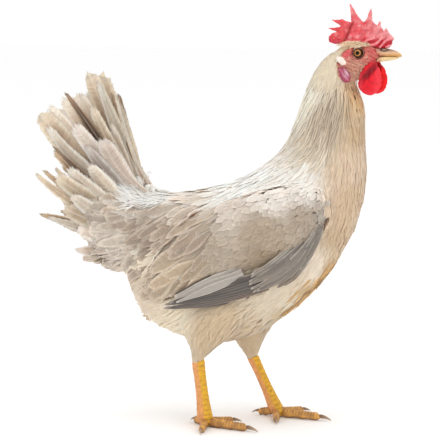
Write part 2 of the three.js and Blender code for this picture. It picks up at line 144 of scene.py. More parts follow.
def merged_copy(node_name, name):
    """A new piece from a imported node's mesh, with the doubled corners of its loose triangles merged."""
    piece = bpy.data.objects.new(name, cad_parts[node_name].data.copy())
    bpy.context.scene.collection.objects.link(piece)
    piece.data.materials.clear()
    with edited(piece):
        bpy.ops.mesh.customdata_custom_splitnormals_clear()
        bpy.ops.mesh.remove_doubles(threshold=0.00002)
    return piece


def shape_with(piece, kind, **values):
    """Adds one modifier with these values and applies it."""
    hold(piece)
    modifier = piece.modifiers.new(kind, kind)
    for name, value in values.items():
        setattr(modifier, name, value)
    bpy.ops.object.modifier_apply(modifier=modifier.name)


def remesh(piece, voxel, passes):
    """Makes a piece one even closed mesh, voxel metres fine, and smooths it."""
    shape_with(piece, "REMESH", mode="VOXEL", voxel_size=voxel)
    shape_with(piece, "SMOOTH", factor=0.5, iterations=passes)


def joined(pieces):
    """Joins pieces into the first of them, and returns it."""
    bpy.ops.object.select_all(action="DESELECT")
    for piece in pieces:
        piece.select_set(True)
    bpy.context.view_layer.objects.active = pieces[0]
    bpy.ops.object.join()
    return pieces[0]


def corners(piece):
    """The places of a piece's corners, in millimetres from the hip mark."""
    spots = np.empty(len(piece.data.vertices) * 3, np.float32)
    piece.data.vertices.foreach_get("co", spots)
    return (spots.reshape(-1, 3).astype(float) - np.array(hip_mark)) * 1000


def set_corners(piece, spots):
    """Moves a piece's corners to places in millimetres from the hip mark."""
    row = (spots / 1000 + np.array(hip_mark)).astype(np.float32)
    piece.data.vertices.foreach_set("co", row.ravel())
    piece.data.update()


def outward(piece):
    """The smooth normal at each corner of a piece."""
    normals = np.empty(len(piece.data.vertices) * 3, np.float32)
    piece.data.vertex_normals.foreach_get("vector", normals)
    return normals.reshape(-1, 3).astype(float)


def ramp(values, start, end):
    """0 before start, 1 after end and a smooth rise between; start may be the higher of the two."""
    share = np.clip((np.asarray(values, float) - start) / (end - start), 0, 1)
    return share * share * (3 - 2 * share)


def unit(vectors):
    """Vectors in rows, each made one long."""
    return vectors / np.maximum(np.linalg.norm(vectors, axis=-1, keepdims=True), 1e-9)


head_turn = math.radians(9)
head_pivot = 130.0
eye_x, eye_z = 19.5 + head_pivot, 391.4


def on_head(spots):
    """Places in the head's own frame: x along the bill, y to the left, z up."""
    x = spots[:, 0] - head_pivot
    cosine, sine = math.cos(head_turn), math.sin(head_turn)
    along = head_pivot + x * cosine - spots[:, 1] * sine
    return np.column_stack([along, x * sine + spots[:, 1] * cosine, spots[:, 2]])


def head_axes(spots):
    """Places as x from the head's pivot along the bill, y to her left and z up."""
    x, y, z = on_head(spots).T
    return x - head_pivot, y, z


# the edge of the naked face on the head's side, from the comb over the eye to the ear and the throat
face_edge = np.array([
    (172, 404), (162, 400.5), (150, 399.4), (140, 396.5), (133, 391), (128.5, 382),
    (131, 368), (139, 361), (150, 363), (162, 370), (182, 380),
], float)
edge_blur = 0.8


def face_share(spots):
    """1 on the naked skin of the face, 0 under the coat, with a soft edge."""
    head = on_head(spots)
    flat = head[:, [0, 2]]
    inside = np.zeros(len(flat), bool)
    nearest = np.full(len(flat), 1e9)
    for start, end in zip(face_edge, np.roll(face_edge, -1, axis=0)):
        span = end - start
        share = np.clip(((flat - start) @ span) / (span @ span), 0, 1)
        nearest = np.minimum(nearest, np.linalg.norm(flat - start - share[:, None] * span, axis=1))
        between = (start[1] > flat[:, 1]) != (end[1] > flat[:, 1])
        crossing = start[0] + (flat[:, 1] - start[1]) * span[0] / (span[1] if span[1] else 1e-9)
        inside ^= between & (flat[:, 0] < crossing)
    return ramp(np.where(inside, nearest, -nearest), -edge_blur, edge_blur)


body_coat, neck_coat_less, thin_coat = 3.6, 0.6, 1.3


def coat_depth(spots):
    """How deep the coat lies over the skin: thinner up the neck, thinnest on head and hocks."""
    z = spots[:, 2]
    deep = body_coat - neck_coat_less * ramp(z, 290, 330)
    deep = deep + (thin_coat - deep) * ramp(z, 352, 384)
    deep = deep + (thin_coat - deep) * ramp(z, 118, 92)
    return deep * (1 - face_share(spots))


flesh_nodes = ["trunk", "neck", "head", "thigh_right", "thigh_left", "wing_right", "wing_left"]
flesh = {part: merged_copy(part, "flesh_" + part) for part in flesh_nodes + ["tail"]}
# only the tail's fleshy root lies under the skin: the fan behind it and above it is cut away
tail_cuts = ((place(-134, 0, 205), (-1, 0, -0.25)), (place(-80, 0, 258), (-0.35, 0, 1)))
with edited(flesh["tail"]):
    for spot, side in tail_cuts:
        bpy.ops.mesh.select_all(action="SELECT")
        bpy.ops.mesh.bisect(plane_co=spot, plane_no=side, clear_outer=True, use_fill=True)
flesh_trees = {}
for part, piece in flesh.items():
    sides = [tuple(face.vertices) for face in piece.data.polygons]
    flesh_trees[part] = BVHTree.FromPolygons(corners(piece).tolist(), sides)
skin = joined(list(flesh.values()))
skin.name = "skin"
skin.data.name = "skin"
remesh(skin, 0.0018, 10)
set_corners(skin, corners(skin) - outward(skin) * coat_depth(corners(skin))[:, None])
remesh(skin, 0.0016, 6)

# under the coat the skin is thinned out, and on the naked face it is made finer
comb_foot = 395
coated = skin.vertex_groups.new(name="coated")
feathered = np.nonzero((face_share(corners(skin)) < 0.01) & (corners(skin)[:, 2] < comb_foot))[0]
coated.add(feathered.tolist(), 1.0, "REPLACE")
shape_with(skin, "DECIMATE", ratio=0.34, vertex_group="coated")
skin.vertex_groups.clear()
hold(skin)
bare = face_share(corners(skin)) > 0.02
bpy.ops.object.mode_set(mode="EDIT")
bpy.ops.mesh.select_all(action="DESELECT")
bpy.ops.object.mode_set(mode="OBJECT")
for face in skin.data.polygons:
    face.select = all(bare[corner] for corner in face.vertices)
bpy.ops.object.mode_set(mode="EDIT")
bpy.ops.mesh.subdivide(number_cuts=3, smoothness=0.6)
bpy.ops.object.mode_set(mode="OBJECT")
shape_with(skin, "TRIANGULATE")


def eye_rim(spots):
    """Distance of places on the head from the line through both pupils."""
    head = on_head(spots)
    return np.hypot((head[:, 0] - eye_x) / 1.06, head[:, 2] - eye_z)


def rise(values, middle, width):
    """A soft ridge, 1 high at its middle."""
    return np.exp(-(((values - middle) / width) ** 2))


def rumple(spots, scale, reach):
    """Soft noise over places on the bird: scale in lumps to the millimetre, reach in millimetres."""
    return np.array([noise.noise(Vector(spot) * scale) for spot in spots.tolist()]) * reach


def face_creases(spots):
    """Fine wavy creases over the face outside the eye's rings, from -1 to 1."""
    head = on_head(spots)
    waves = np.sin(1.7 * (head[:, 2] + 0.45 * head[:, 0]) + rumple(spots, 0.15, 3.0))
    return waves * ramp(eye_rim(spots), 8, 11)


# ridges and furrows of the lids: distance from the pupil, height and width
lid_rings = ((4.8, 0.9, 0.7), (6.0, -0.6, 0.6), (7.1, 0.5, 0.7), (8.3, -0.4, 0.6), (9.4, 0.3, 0.7))


def face_relief(spots):
    """How far the lids, brow and folds of the naked face stand out."""
    head = on_head(spots)
    rim = eye_rim(spots)
    beside = ramp(np.abs(head[:, 1]), 5, 9)
    lids = sum(high * rise(rim, ring, width) for ring, high, width in lid_rings)
    socket = -3.0 * (1 - ramp(rim, 3.1, 4.1))
    brow = 0.9 * rise(head[:, 2], 400.2 - 0.004 * (head[:, 0] - 150) ** 2, 1.5)
    cheek = head[:, 2] - 378 + 0.35 * (head[:, 0] - 150)
    folds = 0.45 * rise(cheek, 0, 0.8) + 0.35 * rise(cheek, -4.2, 0.9) - 0.35 * rise(cheek, -2.1, 0.8)
    gape = 0.6 * rise(head[:, 2] - 384.5 + 0.25 * (head[:, 0] - 160), 0, 1.1) * ramp(head[:, 0], 154, 160)
    grain = rumple(spots, 0.9, 0.5) + rumple(spots, 0.4, 0.4) + 0.35 * face_creases(spots)
    return beside * (lids + socket + gape + (brow + folds) * ramp(rim, 8.2, 10.5)) + grain


share = face_share(corners(skin))
set_corners(skin, corners(skin) + outward(skin) * (face_relief(corners(skin)) * share)[:, None])
skin.data.shade_smooth()
with edited(skin):
    bpy.ops.uv.smart_project(angle_limit=math.radians(66), island_margin=0.002)
skin.data.uv_layers[0].name = "skin_map"


# ---------------------------------------------------------------------------------------------------
# The markings. The hen is cream white above, buff on the breast and golden at the keel, tan grey on
# the wings and tail. Skin and coat both take their colours from these soft regions, each with a
# place on the profile, a spread, the colour of a feather's edge and that of its heart.
markings = {
    "crown": (134, 404, 14, (255, 232, 196), (255, 220, 176)),
    "nape": (112, 380, 22, (250, 233, 203), (224, 198, 162)),
    "hackle_back": (86, 336, 24, (255, 244, 222), (226, 208, 184)),
    "hackle_side": (112, 318, 24, (204, 182, 158), (140, 120, 100)),
    "hackle_low": (98, 288, 22, (232, 212, 187), (166, 146, 122)),
    "neck_front": (160, 345, 17, (232, 184, 126), (208, 158, 100)),
    "neck_buff": (158, 306, 22, (216, 180, 140), (190, 156, 114)),
    "breast_high": (142, 272, 26, (233, 203, 172), (209, 176, 141)),
    "breast": (150, 236, 26, (224, 190, 154), (202, 168, 132)),
    "breast_fore": (138, 198, 16, (214, 180, 144), (192, 158, 122)),
    "breast_low": (104, 172, 16, (250, 230, 204), (232, 208, 178)),
    "keel_front": (123, 166, 12, (208, 168, 118), (180, 136, 84)),
    "keel": (97, 138, 12, (220, 182, 132), (194, 152, 100)),
    "keel_back": (70, 116, 9, (216, 184, 140), (188, 150, 108)),
    "belly": (66, 140, 24, (240, 220, 192), (214, 190, 158)),
    "shoulder": (92, 262, 26, (253, 246, 236), (242, 229, 214)),
    "back": (20, 264, 30, (255, 250, 242), (246, 236, 222)),
    "saddle": (-38, 244, 24, (238, 222, 206), (202, 184, 165)),
    "saddle_side": (-44, 212, 22, (190, 168, 148), (156, 136, 118)),
    "rump_side": (-74, 204, 16, (182, 162, 144), (146, 127, 111)),
    "rump": (-66, 243, 20, (250, 246, 240), (226, 218, 208)),
    "flank": (-50, 160, 28, (255, 238, 212), (240, 218, 190)),
    "vent": (-82, 140, 28, (244, 221, 192), (220, 195, 164)),
    "fluff": (-36, 108, 28, (255, 236, 206), (244, 218, 186)),
    "thigh": (0, 100, 30, (226, 198, 162), (200, 168, 130)),
    "tail_covert": (-110, 232, 26, (206, 189, 172), (164, 145, 129)),
    "tail_low": (-112, 184, 26, (226, 209, 193), (184, 166, 151)),
}


region_heart = 0.02


def blend_of(spots, regions):
    """Each region's share at each place, from its distance on the profile over its spread."""
    weights = np.empty((len(spots), len(regions)))
    for column, (x, z, spread) in enumerate(regions):
        gap = np.hypot(spots[:, 0] - x, spots[:, 2] - z) / spread
        weights[:, column] = 1 / (gap**4 + region_heart)
    return weights / weights.sum(axis=1, keepdims=True)


def marking(spots, regions=markings):
    """The edge colour and the heart colour of the coat at places on the bird."""
    shares = blend_of(spots, [row[:3] for row in regions.values()])
    edge = shares @ np.array([tint(*row[3]) for row in regions.values()])
    heart = shares @ np.array([tint(*row[4]) for row in regions.values()])
    return edge, heart


def paint(piece, name, colours):
    """Stores one colour for each corner of a piece as a named attribute."""
    layer = piece.data.attributes.new(name, "FLOAT_COLOR", "POINT")
    full = np.ones((len(colours), 4), np.float32)
    full[:, : colours.shape[1]] = colours
    layer.data.foreach_set("color", full.ravel())


def keep_number(piece, name, numbers):
    """Stores one number for each corner of a piece as a named attribute."""
    layer = piece.data.attributes.new(name, "FLOAT", "POINT")
    layer.data.foreach_set("value", numbers.astype(np.float32))


def layered(colour, *layers):
    """A screen colour at each corner with others laid over it in turn, each by its share there."""
    tone = np.tile(tint(*colour), (len(layers[0][0]), 1))
    for share, shade in layers:
        tone = tone + (tint(*shade) - tone) * share[:, None]
    return tone


def face_colour(spots):
    """The naked face: brownish pink, red before and behind the eye, dark and pale rings on the lids, painted
    shade in the eye's socket, and painted shade and light along its creases.
    """
    x, _, z = head_axes(spots)
    rim = eye_rim(spots)
    colour = layered(
        (188, 104, 88),
        (0.7 * ramp(rumple(spots, 0.28, 1.0), 0.05, 0.5), (210, 146, 124)),
        (0.6 * ramp(rumple(spots, 0.33, 1.0), -0.05, -0.5), (176, 66, 62)),
        (rise(np.hypot(x - 8, (z - 390) * 0.8), 0, 5), (216, 84, 90)),
        (0.8 * rise(np.hypot((x - 35) * 0.6, z - 393), 0, 4.5), (196, 76, 76)),
        (rise(np.hypot((x - 34) * 0.7, z - 383), 0, 3.6), (212, 60, 70)),
        (0.8 * rise(np.hypot((x - 17) * 0.6, z - 379), 0, 5.5), (198, 144, 120)),
        (0.8 * ramp(z, 377, 371), (188, 140, 116)),
        (ramp(z, 397.5, 400), (200, 146, 112)),
        (0.7 * rise(rim, 6.7, 0.8), (182, 78, 70)),
        (0.8 * rise(rim, 5.6, 0.45), (120, 52, 42)),
        (0.9 * rise(rim, 4.7, 0.5), (212, 162, 134)),
        # painted shade: the socket round the eyeball is painted dark brown
        (1 - ramp(rim, 3.5, 4.1), (60, 30, 22)),
    )
    # random speckle, plus painted shade in the creases' furrows and painted light on their crests
    speckle_and_crease_shade = 1 + rumple(spots, 0.9, 0.35) + rumple(spots, 0.35, 0.2) + 0.14 * face_creases(spots)
    return colour * np.clip(speckle_and_crease_shade, 0.4, 1.5)[:, None]


def wire(tree, made, inputs):
    """Sets inputs of a node, by socket name or number, to values or to outputs of other nodes."""
    for socket, value in inputs.items():
        if isinstance(value, bpy.types.NodeSocket):
            tree.links.new(value, made.inputs[socket])
        else:
            made.inputs[socket].default_value = value


def material(name, roughness, sheen=0.0, coat=0.0, specular=0.5, glow=0.0):
    """A new material with the shader's own constants set; returns it, its nodes and its shader.

    glow is how much light goes through it."""
    finish = bpy.data.materials.new(name)
    finish.use_nodes = True
    shader = finish.node_tree.nodes["Principled BSDF"]
    wire(finish.node_tree, shader, {
        "Roughness": roughness, "Sheen Weight": sheen, "Coat Weight": coat, "Specular IOR Level": specular,
        "Subsurface Weight": glow, "Subsurface Radius": (1.0, 0.6, 0.45), "Subsurface Scale": 0.002})
    return finish, finish.node_tree, shader


def node(tree, kind, inputs=(), **settings):
    """A new shader node with these settings and inputs."""
    made = tree.nodes.new("ShaderNode" + kind)
    for name, value in settings.items():
        setattr(made, name, value)
    wire(tree, made, dict(inputs))
    return made


def maths(tree, operation, *values):
    """What a math node makes of numbers and outputs."""
    return node(tree, "Math", dict(enumerate(values)), operation=operation).outputs[0]


def ranged(tree, value, start, end, low, high, **settings):
    """A value taken from one range to another."""
    return node(tree, "MapRange", {"Value": value, "From Min": start, "From Max": end,
                                   "To Min": low, "To Max": high}, **settings).outputs[0]


def cloud(tree, spots, scale, detail, roughness=0.5):
    """Soft noise over places or over a map."""
    return node(tree, "TexNoise", {"Vector": spots, "Scale": scale, "Detail": detail,
                                   "Roughness": roughness}).outputs["Fac"]


def gained(tree, colour, gain):
    """A colour made lighter or darker by a gain."""
    return node(tree, "VectorMath", {0: colour, "Scale": gain}, operation="SCALE").outputs[0]


def own_layer(tree, name="tone"):
    """A node for one of a piece's own attributes."""
    return node(tree, "Attribute", attribute_name=name)


def new_group(name, ins, outs):
    """An empty shader node group with float, colour or vector sockets; returns it with both ends."""
    group = bpy.data.node_groups.new(name, "ShaderNodeTree")
    for socket, kind, value in ins:
        made = group.interface.new_socket(socket, in_out="INPUT", socket_type="NodeSocket" + kind)
        made.default_value = value
    for socket, kind in outs:
        group.interface.new_socket(socket, in_out="OUTPUT", socket_type="NodeSocket" + kind)
    return group, group.nodes.new("NodeGroupInput").outputs, group.nodes.new("NodeGroupOutput")


# bare skin: pebbled, with paler bead tops and darker furrows, at the scale asked for
skin_grain, grain_in, grain_out = new_group(
    "skin_grain",
    [("Color", "Color", (1, 1, 1, 1)), ("Scale", "Float", 900.0), ("Mottle", "Float", 0.3)],
    [("Color", "Color"), ("Height", "Float"), ("Roughness", "Float")],
)
grain_place = node(skin_grain, "TexCoord").outputs["Object"]
grain_beads = node(skin_grain, "TexVoronoi", {"Vector": grain_place, "Scale": grain_in["Scale"]},
                   feature="SMOOTH_F1")
grain_cloud = cloud(skin_grain, grain_place, 260.0, 5.0)
grain_top = maths(skin_grain, "SUBTRACT", 1.0, grain_beads.outputs["Distance"])
grain_sum = maths(skin_grain, "MULTIPLY_ADD", grain_cloud, 1.2, grain_top)
grain_range = ranged(skin_grain, grain_sum, 0.8, 1.7, -1.0, 1.0)
grain_gain = maths(skin_grain, "MULTIPLY_ADD", grain_range, grain_in["Mottle"], 1.0)
wire(skin_grain, grain_out, {
    "Color": gained(skin_grain, grain_in["Color"], grain_gain), "Height": grain_top,
    "Roughness": ranged(skin_grain, grain_cloud, 0.0, 1.0, 0.32, 0.62)})


def clad(tree, shader, top, height, strength, deep):
    """Links a group's colour and roughness to the shader, and a height, metres deep, as its bump."""
    bump = node(tree, "Bump", {"Height": height, "Strength": strength, "Distance": deep})
    wire(tree, shader, {"Base Color": top["Color"], "Roughness": top["Roughness"],
                        "Normal": bump.outputs["Normal"]})


def bare_skin(name, scale, mottle, deep, seams=0.0, **shine):
    """A material of bare skin whose colour comes from the piece's own 'tone' attribute.

    seams is how much deeper than the beads the seams between a leg's plates lie."""
    finish, tree, shader = material(name, 0.5, **shine)
    grain = node(tree, "Group", {"Color": own_layer(tree).outputs["Color"], "Scale": scale,
                                 "Mottle": mottle}, node_tree=skin_grain).outputs
    height = grain["Height"]
    if seams:
        height = maths(tree, "MULTIPLY_ADD", own_layer(tree, "seam").outputs["Fac"], -seams, height)
    clad(tree, shader, grain, height, 0.6, deep)
    return finish


def dress(piece, slot, finish, *nodes):
    """Gives a finished piece its material, its body and the solids that it stands for; slot is not used."""
    piece.data.materials.clear()
    piece.data.materials.append(finish)
    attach(piece, "root")
    if nodes:
        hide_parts(*nodes)


skin_spots = corners(skin)
skin_edge, skin_heart = marking(skin_spots)
under_coat = (skin_edge + skin_heart) / 2
naked = face_share(skin_spots)[:, None]
paint(skin, "tone", under_coat + (face_colour(skin_spots) - under_coat) * naked)
dress(skin, "plumage", bare_skin("hen_skin", 1100.0, 0.22, 0.0003, glow=0.15), *flesh_nodes)


# ---------------------------------------------------------------------------------------------------
# The coat's lie. Feathers point from the bill to the tail, and turn with the body: down the neck and
# breast, back along the wings and belly, and up at the rump. Each line below gives a place on the
# profile and the way the feathers point there, in degrees up from forwards.
lie_marks = {
    "crown": (138, 406, 186), "brow": (152, 402, 172), "brow_rear": (134, 398, 204),
    "nape": (108, 384, 238), "ear": (126, 378, 250), "throat": (156, 362, 262),
    "neck_back": (92, 346, 245), "neck_root": (74, 306, 232), "neck_side": (118, 330, 257),
    "neck_front": (150, 340, 266), "neck_low": (150, 300, 264), "cape": (86, 280, 222),
    "shoulder": (116, 262, 244), "breast_high": (150, 266, 258), "breast": (156, 230, 254),
    "breast_side": (120, 226, 246), "breast_low": (146, 190, 240), "keel": (128, 160, 222),
    "keel_back": (92, 136, 206), "belly": (40, 120, 196), "wing_bend": (112, 226, 232),
    "wing_front": (84, 226, 214), "wing": (44, 208, 209), "wing_low": (56, 178, 206),
    "wing_back": (0, 196, 217), "wing_tip": (-38, 158, 214), "back_front": (54, 276, 200),
    "back": (8, 258, 193), "back_side": (26, 249, 216), "saddle": (-34, 244, 190),
    "saddle_side": (-34, 220, 218), "rump": (-70, 240, 163), "down": (-84, 254, 130),
    "rump_side": (-78, 212, 200), "covert_high": (-104, 250, 158), "covert": (-112, 222, 176),
    "covert_low": (-112, 184, 194), "flank": (-60, 170, 212), "vent": (-88, 146, 215),
    "belly_rear": (-40, 104, 212), "thigh_high": (8, 132, 226), "thigh": (2, 104, 246),
    "hock": (-8, 78, 266), "hock_left": (48, 82, 286),
}
lie_spread = 16
top_splay = 0.22


def lie(spots, normals):
    """The way the coat points at places on the skin, flat to its surface."""
    regions = [(x, z, lie_spread) for x, z, way in lie_marks.values()]
    shares = blend_of(spots, regions)
    turns = np.radians([way for x, z, way in lie_marks.values()])
    flat = shares @ np.column_stack([np.cos(turns), np.sin(turns)])
    splay = top_splay * np.tanh(spots[:, 1] / 14) * ramp(normals[:, 2], 0.3, 0.9)
    way = np.column_stack([flat[:, 0], splay, flat[:, 1]])
    way = unit(way) - normals * np.sum(unit(way) * normals, axis=1, keepdims=True)
    return unit(way + np.array([0, 0, -1e-4]))


# the finished skin as the tree of triangles that the feathers are laid on
skin_sides = np.array([tuple(face.vertices) for face in skin.data.polygons])
skin_normals = outward(skin)
skin_tree = BVHTree.FromPolygons(skin_spots.tolist(), skin_sides.tolist())
skin_unwrap = np.empty(len(skin.data.loops) * 2, np.float32)
skin.data.uv_layers["skin_map"].data.foreach_get("uv", skin_unwrap)
skin_unwrap = skin_unwrap.reshape(-1, 3, 2)


def on_skin(spots):
    """The nearest spots of the skin with their smooth normals, triangles and shares of the corners."""
    found = [skin_tree.find_nearest(spot) for spot in spots.tolist()]
    foot = np.array([hit[0][:] for hit in found])
    side = np.array([hit[2] for hit in found])
    first, second, third = (skin_spots[skin_sides[side, corner]] for corner in range(3))
    one, two, reach = second - first, third - first, foot - first
    pairs = ((one, one), (one, two), (two, two), (reach, one), (reach, two))
    dots = [np.sum(a * b, axis=1) for a, b in pairs]
    whole = np.maximum(dots[0] * dots[2] - dots[1] ** 2, 1e-12)
    near_second = (dots[2] * dots[3] - dots[1] * dots[4]) / whole
    near_third = (dots[0] * dots[4] - dots[1] * dots[3]) / whole
    shares = np.clip(np.column_stack([1 - near_second - near_third, near_second, near_third]), 0, 1)
    normals = unit(np.einsum("nk,nkd->nd", shares, skin_normals[skin_sides[side]]))
    return foot, normals, side, shares


# which solid of the bird each triangle of the skin came from
side_middles = skin_spots[skin_sides].mean(axis=1)
side_areas = 0.5 * np.linalg.norm(np.cross(
    skin_spots[skin_sides[:, 1]] - skin_spots[skin_sides[:, 0]],
    skin_spots[skin_sides[:, 2]] - skin_spots[skin_sides[:, 0]]), axis=1)
part_gaps = np.array([
    [tree.find_nearest(spot)[3] for spot in side_middles.tolist()] for tree in flesh_trees.values()])
part_names = np.array(list(flesh_trees))[np.argmin(part_gaps, axis=0)]
side_fronts = unit(skin_normals[skin_sides].mean(axis=1))


tries_each = 3.2


def sow(chosen, gap, seed):
    """Roots strewn over the chosen triangles of the skin, none nearer than the gap to another.

    The gap is one number, or one for each triangle of the skin."""
    dice = np.random.default_rng(seed)
    gaps = np.broadcast_to(np.asarray(gap, float), len(skin_sides))
    picked = np.nonzero(chosen)[0]
    wanted = side_areas[picked] / gaps[picked] ** 2
    tries = dice.choice(picked, size=int(tries_each * wanted.sum()), p=wanted / wanted.sum())
    mix = dice.dirichlet((1, 1, 1), size=len(tries))
    spots = np.einsum("nk,nkd->nd", mix, skin_spots[skin_sides[tries]])
    cell = float(gaps[picked].max())
    taken = {}
    kept = []
    keys = np.floor(spots / cell).astype(int).tolist()
    places = spots.tolist()
    limits = (gaps[tries] ** 2).tolist()
    around = [(i, j, k) for i in (-1, 0, 1) for j in (-1, 0, 1) for k in (-1, 0, 1)]
    for number, (x, y, z) in enumerate(places):
        i, j, k = keys[number]
        near = (other for di, dj, dk in around for other in taken.get((i + di, j + dj, k + dk), ()))
        if all((x - a) ** 2 + (y - b) ** 2 + (z - c) ** 2 > limits[number] for a, b, c in near):
            taken.setdefault((i, j, k), []).append((x, y, z))
            kept.append(number)
    return spots[kept]


def comb_over(roots, steps, long, root_lift, tip_lift, cling, stiff, stray, dice):
    """Centre lines of feathers from their roots along the lie of the coat, and the up side along them.

    long, root_lift and tip_lift are millimetres for each root; cling is how firmly the line holds
    to the skin, stiff how little it turns with it, and stray how far, in radians, a feather points
    away from its neighbours."""
    count = len(roots)
    lines = np.empty((count, steps, 3))
    ups = np.empty((count, steps, 3))
    foot, up, _, _ = on_skin(roots)
    spot = foot + up * root_lift[:, None]
    turn = dice.normal(0, stray, count)[:, None]
    heading = None
    for step in range(steps):
        flow = lie(foot, up)
        flow = unit(flow * np.cos(turn) + np.cross(up, flow) * np.sin(turn))
        heading = flow if heading is None else unit(heading * stiff + flow)
        lines[:, step] = spot
        ups[:, step] = up
        free = spot + heading * (long / (steps - 1))[:, None]
        foot, up, _, _ = on_skin(free)
        lift = root_lift + (tip_lift - root_lift) * ((step + 1) / (steps - 1)) ** 0.8
        height = np.sum((free - foot) * up, axis=1)
        pull = np.where(height < lift, 1.0, cling)
        spot = free + (foot + up * lift[:, None] - free) * pull[:, None]
    return lines, ups


tuft_patch = 0.003
crease_angle = math.radians(70)


def vanes(name, lines, ups, half, dice, rows=6, columns=5, point=0.0, tip=1.0, ragged=0.05,
          camber=0.18, thick=0.16, roll=0.12, waist=0.45, full=0.4, lean=0.0, lop=0.0, fray=0.05,
          edge=None, heart=None, tone=0.04):
    """One piece of closed thin feather vanes on given centre lines.

    half is each feather's half width; point narrows the outer half to a point and tip rounds the
    end; ragged breaks the end's edge and fray its sides; waist is the width at the root as a share,
    and full is where the feather is widest; lean tips it over and lop widens one side of its shaft.
    edge and heart are the colours of each feather."""
    count, steps, _ = lines.shape
    along = np.gradient(lines, axis=1)
    side = unit(np.cross(along, ups))
    rise_up = unit(np.cross(side, along))
    lean = lean + dice.normal(0, roll, count)[:, None, None]
    point = np.broadcast_to(point, count)[:, None, None]
    level, plumb = side, rise_up
    side = level * np.cos(lean) + plumb * np.sin(lean)
    rise_up = plumb * np.cos(lean) - level * np.sin(lean)
    long = np.linalg.norm(np.diff(lines, axis=1), axis=2).sum(axis=1)
    across = np.linspace(-1, 1, columns)
    ends = 1 - tip * (half / long)[:, None] * (1 - np.sqrt(1 - 0.96 * across**2))
    ends = ends - np.abs(dice.normal(0, ragged, (count, columns)))
    share = np.linspace(0, 1, rows)[None, :, None] * ends[:, None, :]
    under = np.linspace(0, 1, rows)[None, :, None] * ends[:, None, [columns // 2]]
    ticks = np.concatenate([share, under], axis=2)
    where = np.clip(ticks * (steps - 1), 0, steps - 1 - 1e-6)
    low = where.astype(int)
    part = (where - low)[..., None]
    pick = np.arange(count)[:, None, None]
    middle = lines[pick, low] * (1 - part) + lines[pick, low + 1] * part
    aside = side[pick, low] * (1 - part) + side[pick, low + 1] * part
    above = rise_up[pick, low] * (1 - part) + rise_up[pick, low + 1] * part
    width = (waist + (1 - waist) * ramp(ticks, 0, full)) * (1 - point * ramp(ticks, 0.45, 1.0) * 0.9)
    offsets = np.concatenate([across, [0.0]])
    size = half[:, None, None] * width
    notches = dice.random((count, rows, 2)).repeat([columns // 2, columns + 1 - columns // 2], axis=2)
    size = size * (1 - fray * notches)
    across_at = offsets * (1 + lop * np.sign(offsets))
    drop = -camber * size * offsets**2
    drop[..., -1] -= thick
    spots = middle + aside * (size * across_at)[..., None] + above * drop[..., None]

    wide = columns + 1
    faces = []
    for row in range(rows - 1):
        base, following = row * wide, (row + 1) * wide
        for column in range(columns - 1):
            a, b = base + column, following + column
            faces.append((a, a + 1, b + 1, b))
        left, right, belly = base, base + columns - 1, base + columns
        far_left, far_right, far_belly = following, following + columns - 1, following + columns
        faces.append((left, far_left, far_belly, belly))
        faces.append((belly, far_belly, far_right, right))
    last = (rows - 1) * wide
    for column in range(columns - 1):
        faces.append((column + 1, column, columns))
        faces.append((last + column, last + column + 1, last + columns))
    each = rows * wide
    sizes = np.array([len(face) for face in faces])
    corner_list = np.concatenate([np.array(face) for face in faces])
    face_corners = (corner_list[None, :] + each * np.arange(count)[:, None]).ravel()
    starts = np.concatenate([[0], np.cumsum(np.tile(sizes, count))[:-1]])

    mesh = bpy.data.meshes.new(name)
    mesh.vertices.add(count * each)
    mesh.loops.add(len(face_corners))
    mesh.polygons.add(len(starts))
    row_frame = (spots.reshape(-1, 3) / 1000 + np.array(hip_mark)).astype(np.float32)
    mesh.vertices.foreach_set("co", row_frame.ravel())
    mesh.polygons.foreach_set("loop_start", starts.astype(np.int32))
    mesh.polygons.foreach_set("vertices", face_corners.astype(np.int32))
    mesh.update(calc_edges=True)
    mesh.shade_smooth()
    mesh.set_sharp_from_angle(angle=crease_angle)
    piece = bpy.data.objects.new(name, mesh)
    bpy.context.scene.collection.objects.link(piece)

    _, _, root_side, root_shares = on_skin(lines[:, 0])
    root_unwrap = np.einsum("nk,nkd->nd", root_shares, skin_unwrap[root_side])
    u = np.broadcast_to((offsets + 1) / 2, ticks.shape)
    maps = {
        "OFBake": np.stack([
            root_unwrap[:, 0, None, None] + tuft_patch * (u - 0.5),
            root_unwrap[:, 1, None, None] + tuft_patch * (ticks - 0.5)], axis=-1),
        "vane": np.stack([u, ticks], axis=-1),
        "barb": np.stack([
            size * across_at / 10 + dice.integers(0, 40, count)[:, None, None] * 3.0,
            ticks * long[:, None, None] / 10 + dice.uniform(0, 40, count)[:, None, None]], axis=-1),
    }
    for layer_name, flat in maps.items():
        layer = mesh.uv_layers.new(name=layer_name)
        layer.data.foreach_set("uv", flat.reshape(-1, 2)[face_corners].astype(np.float32).ravel())
    shade = (1 + dice.normal(0, tone, count))[:, None]
    paint(piece, "edge", np.repeat(np.clip(edge * shade, 0, 1), each, axis=0))
    paint(piece, "heart", np.repeat(np.clip(heart * shade, 0, 1), each, axis=0))
    return piece


# a feather's finish: pale edges round a darker heart, a shaft, and barbs that run out from it
feather, feather_in, feather_out = new_group(
    "feather",
    [("Heart Width", "Float", 0.6), ("Heart", "Float", 1.0), ("Heart End", "Float", 0.78),
     ("Barbs", "Float", 0.25), ("Shaft", "Float", 0.3), ("Shaft Colour", "Color", (1, 1, 1, 1))],
    [("Color", "Color"), ("Height", "Float"), ("Roughness", "Float")],
)
vane_axes, barb_axes = (
    node(feather, "SeparateXYZ", {0: node(feather, "UVMap", uv_map=chart).outputs[0]}).outputs
    for chart in ("vane", "barb"))
from_shaft = maths(feather, "SUBTRACT", vane_axes[0], 0.5)
out_share = maths(feather, "MULTIPLY", maths(feather, "ABSOLUTE", from_shaft), 2.0)
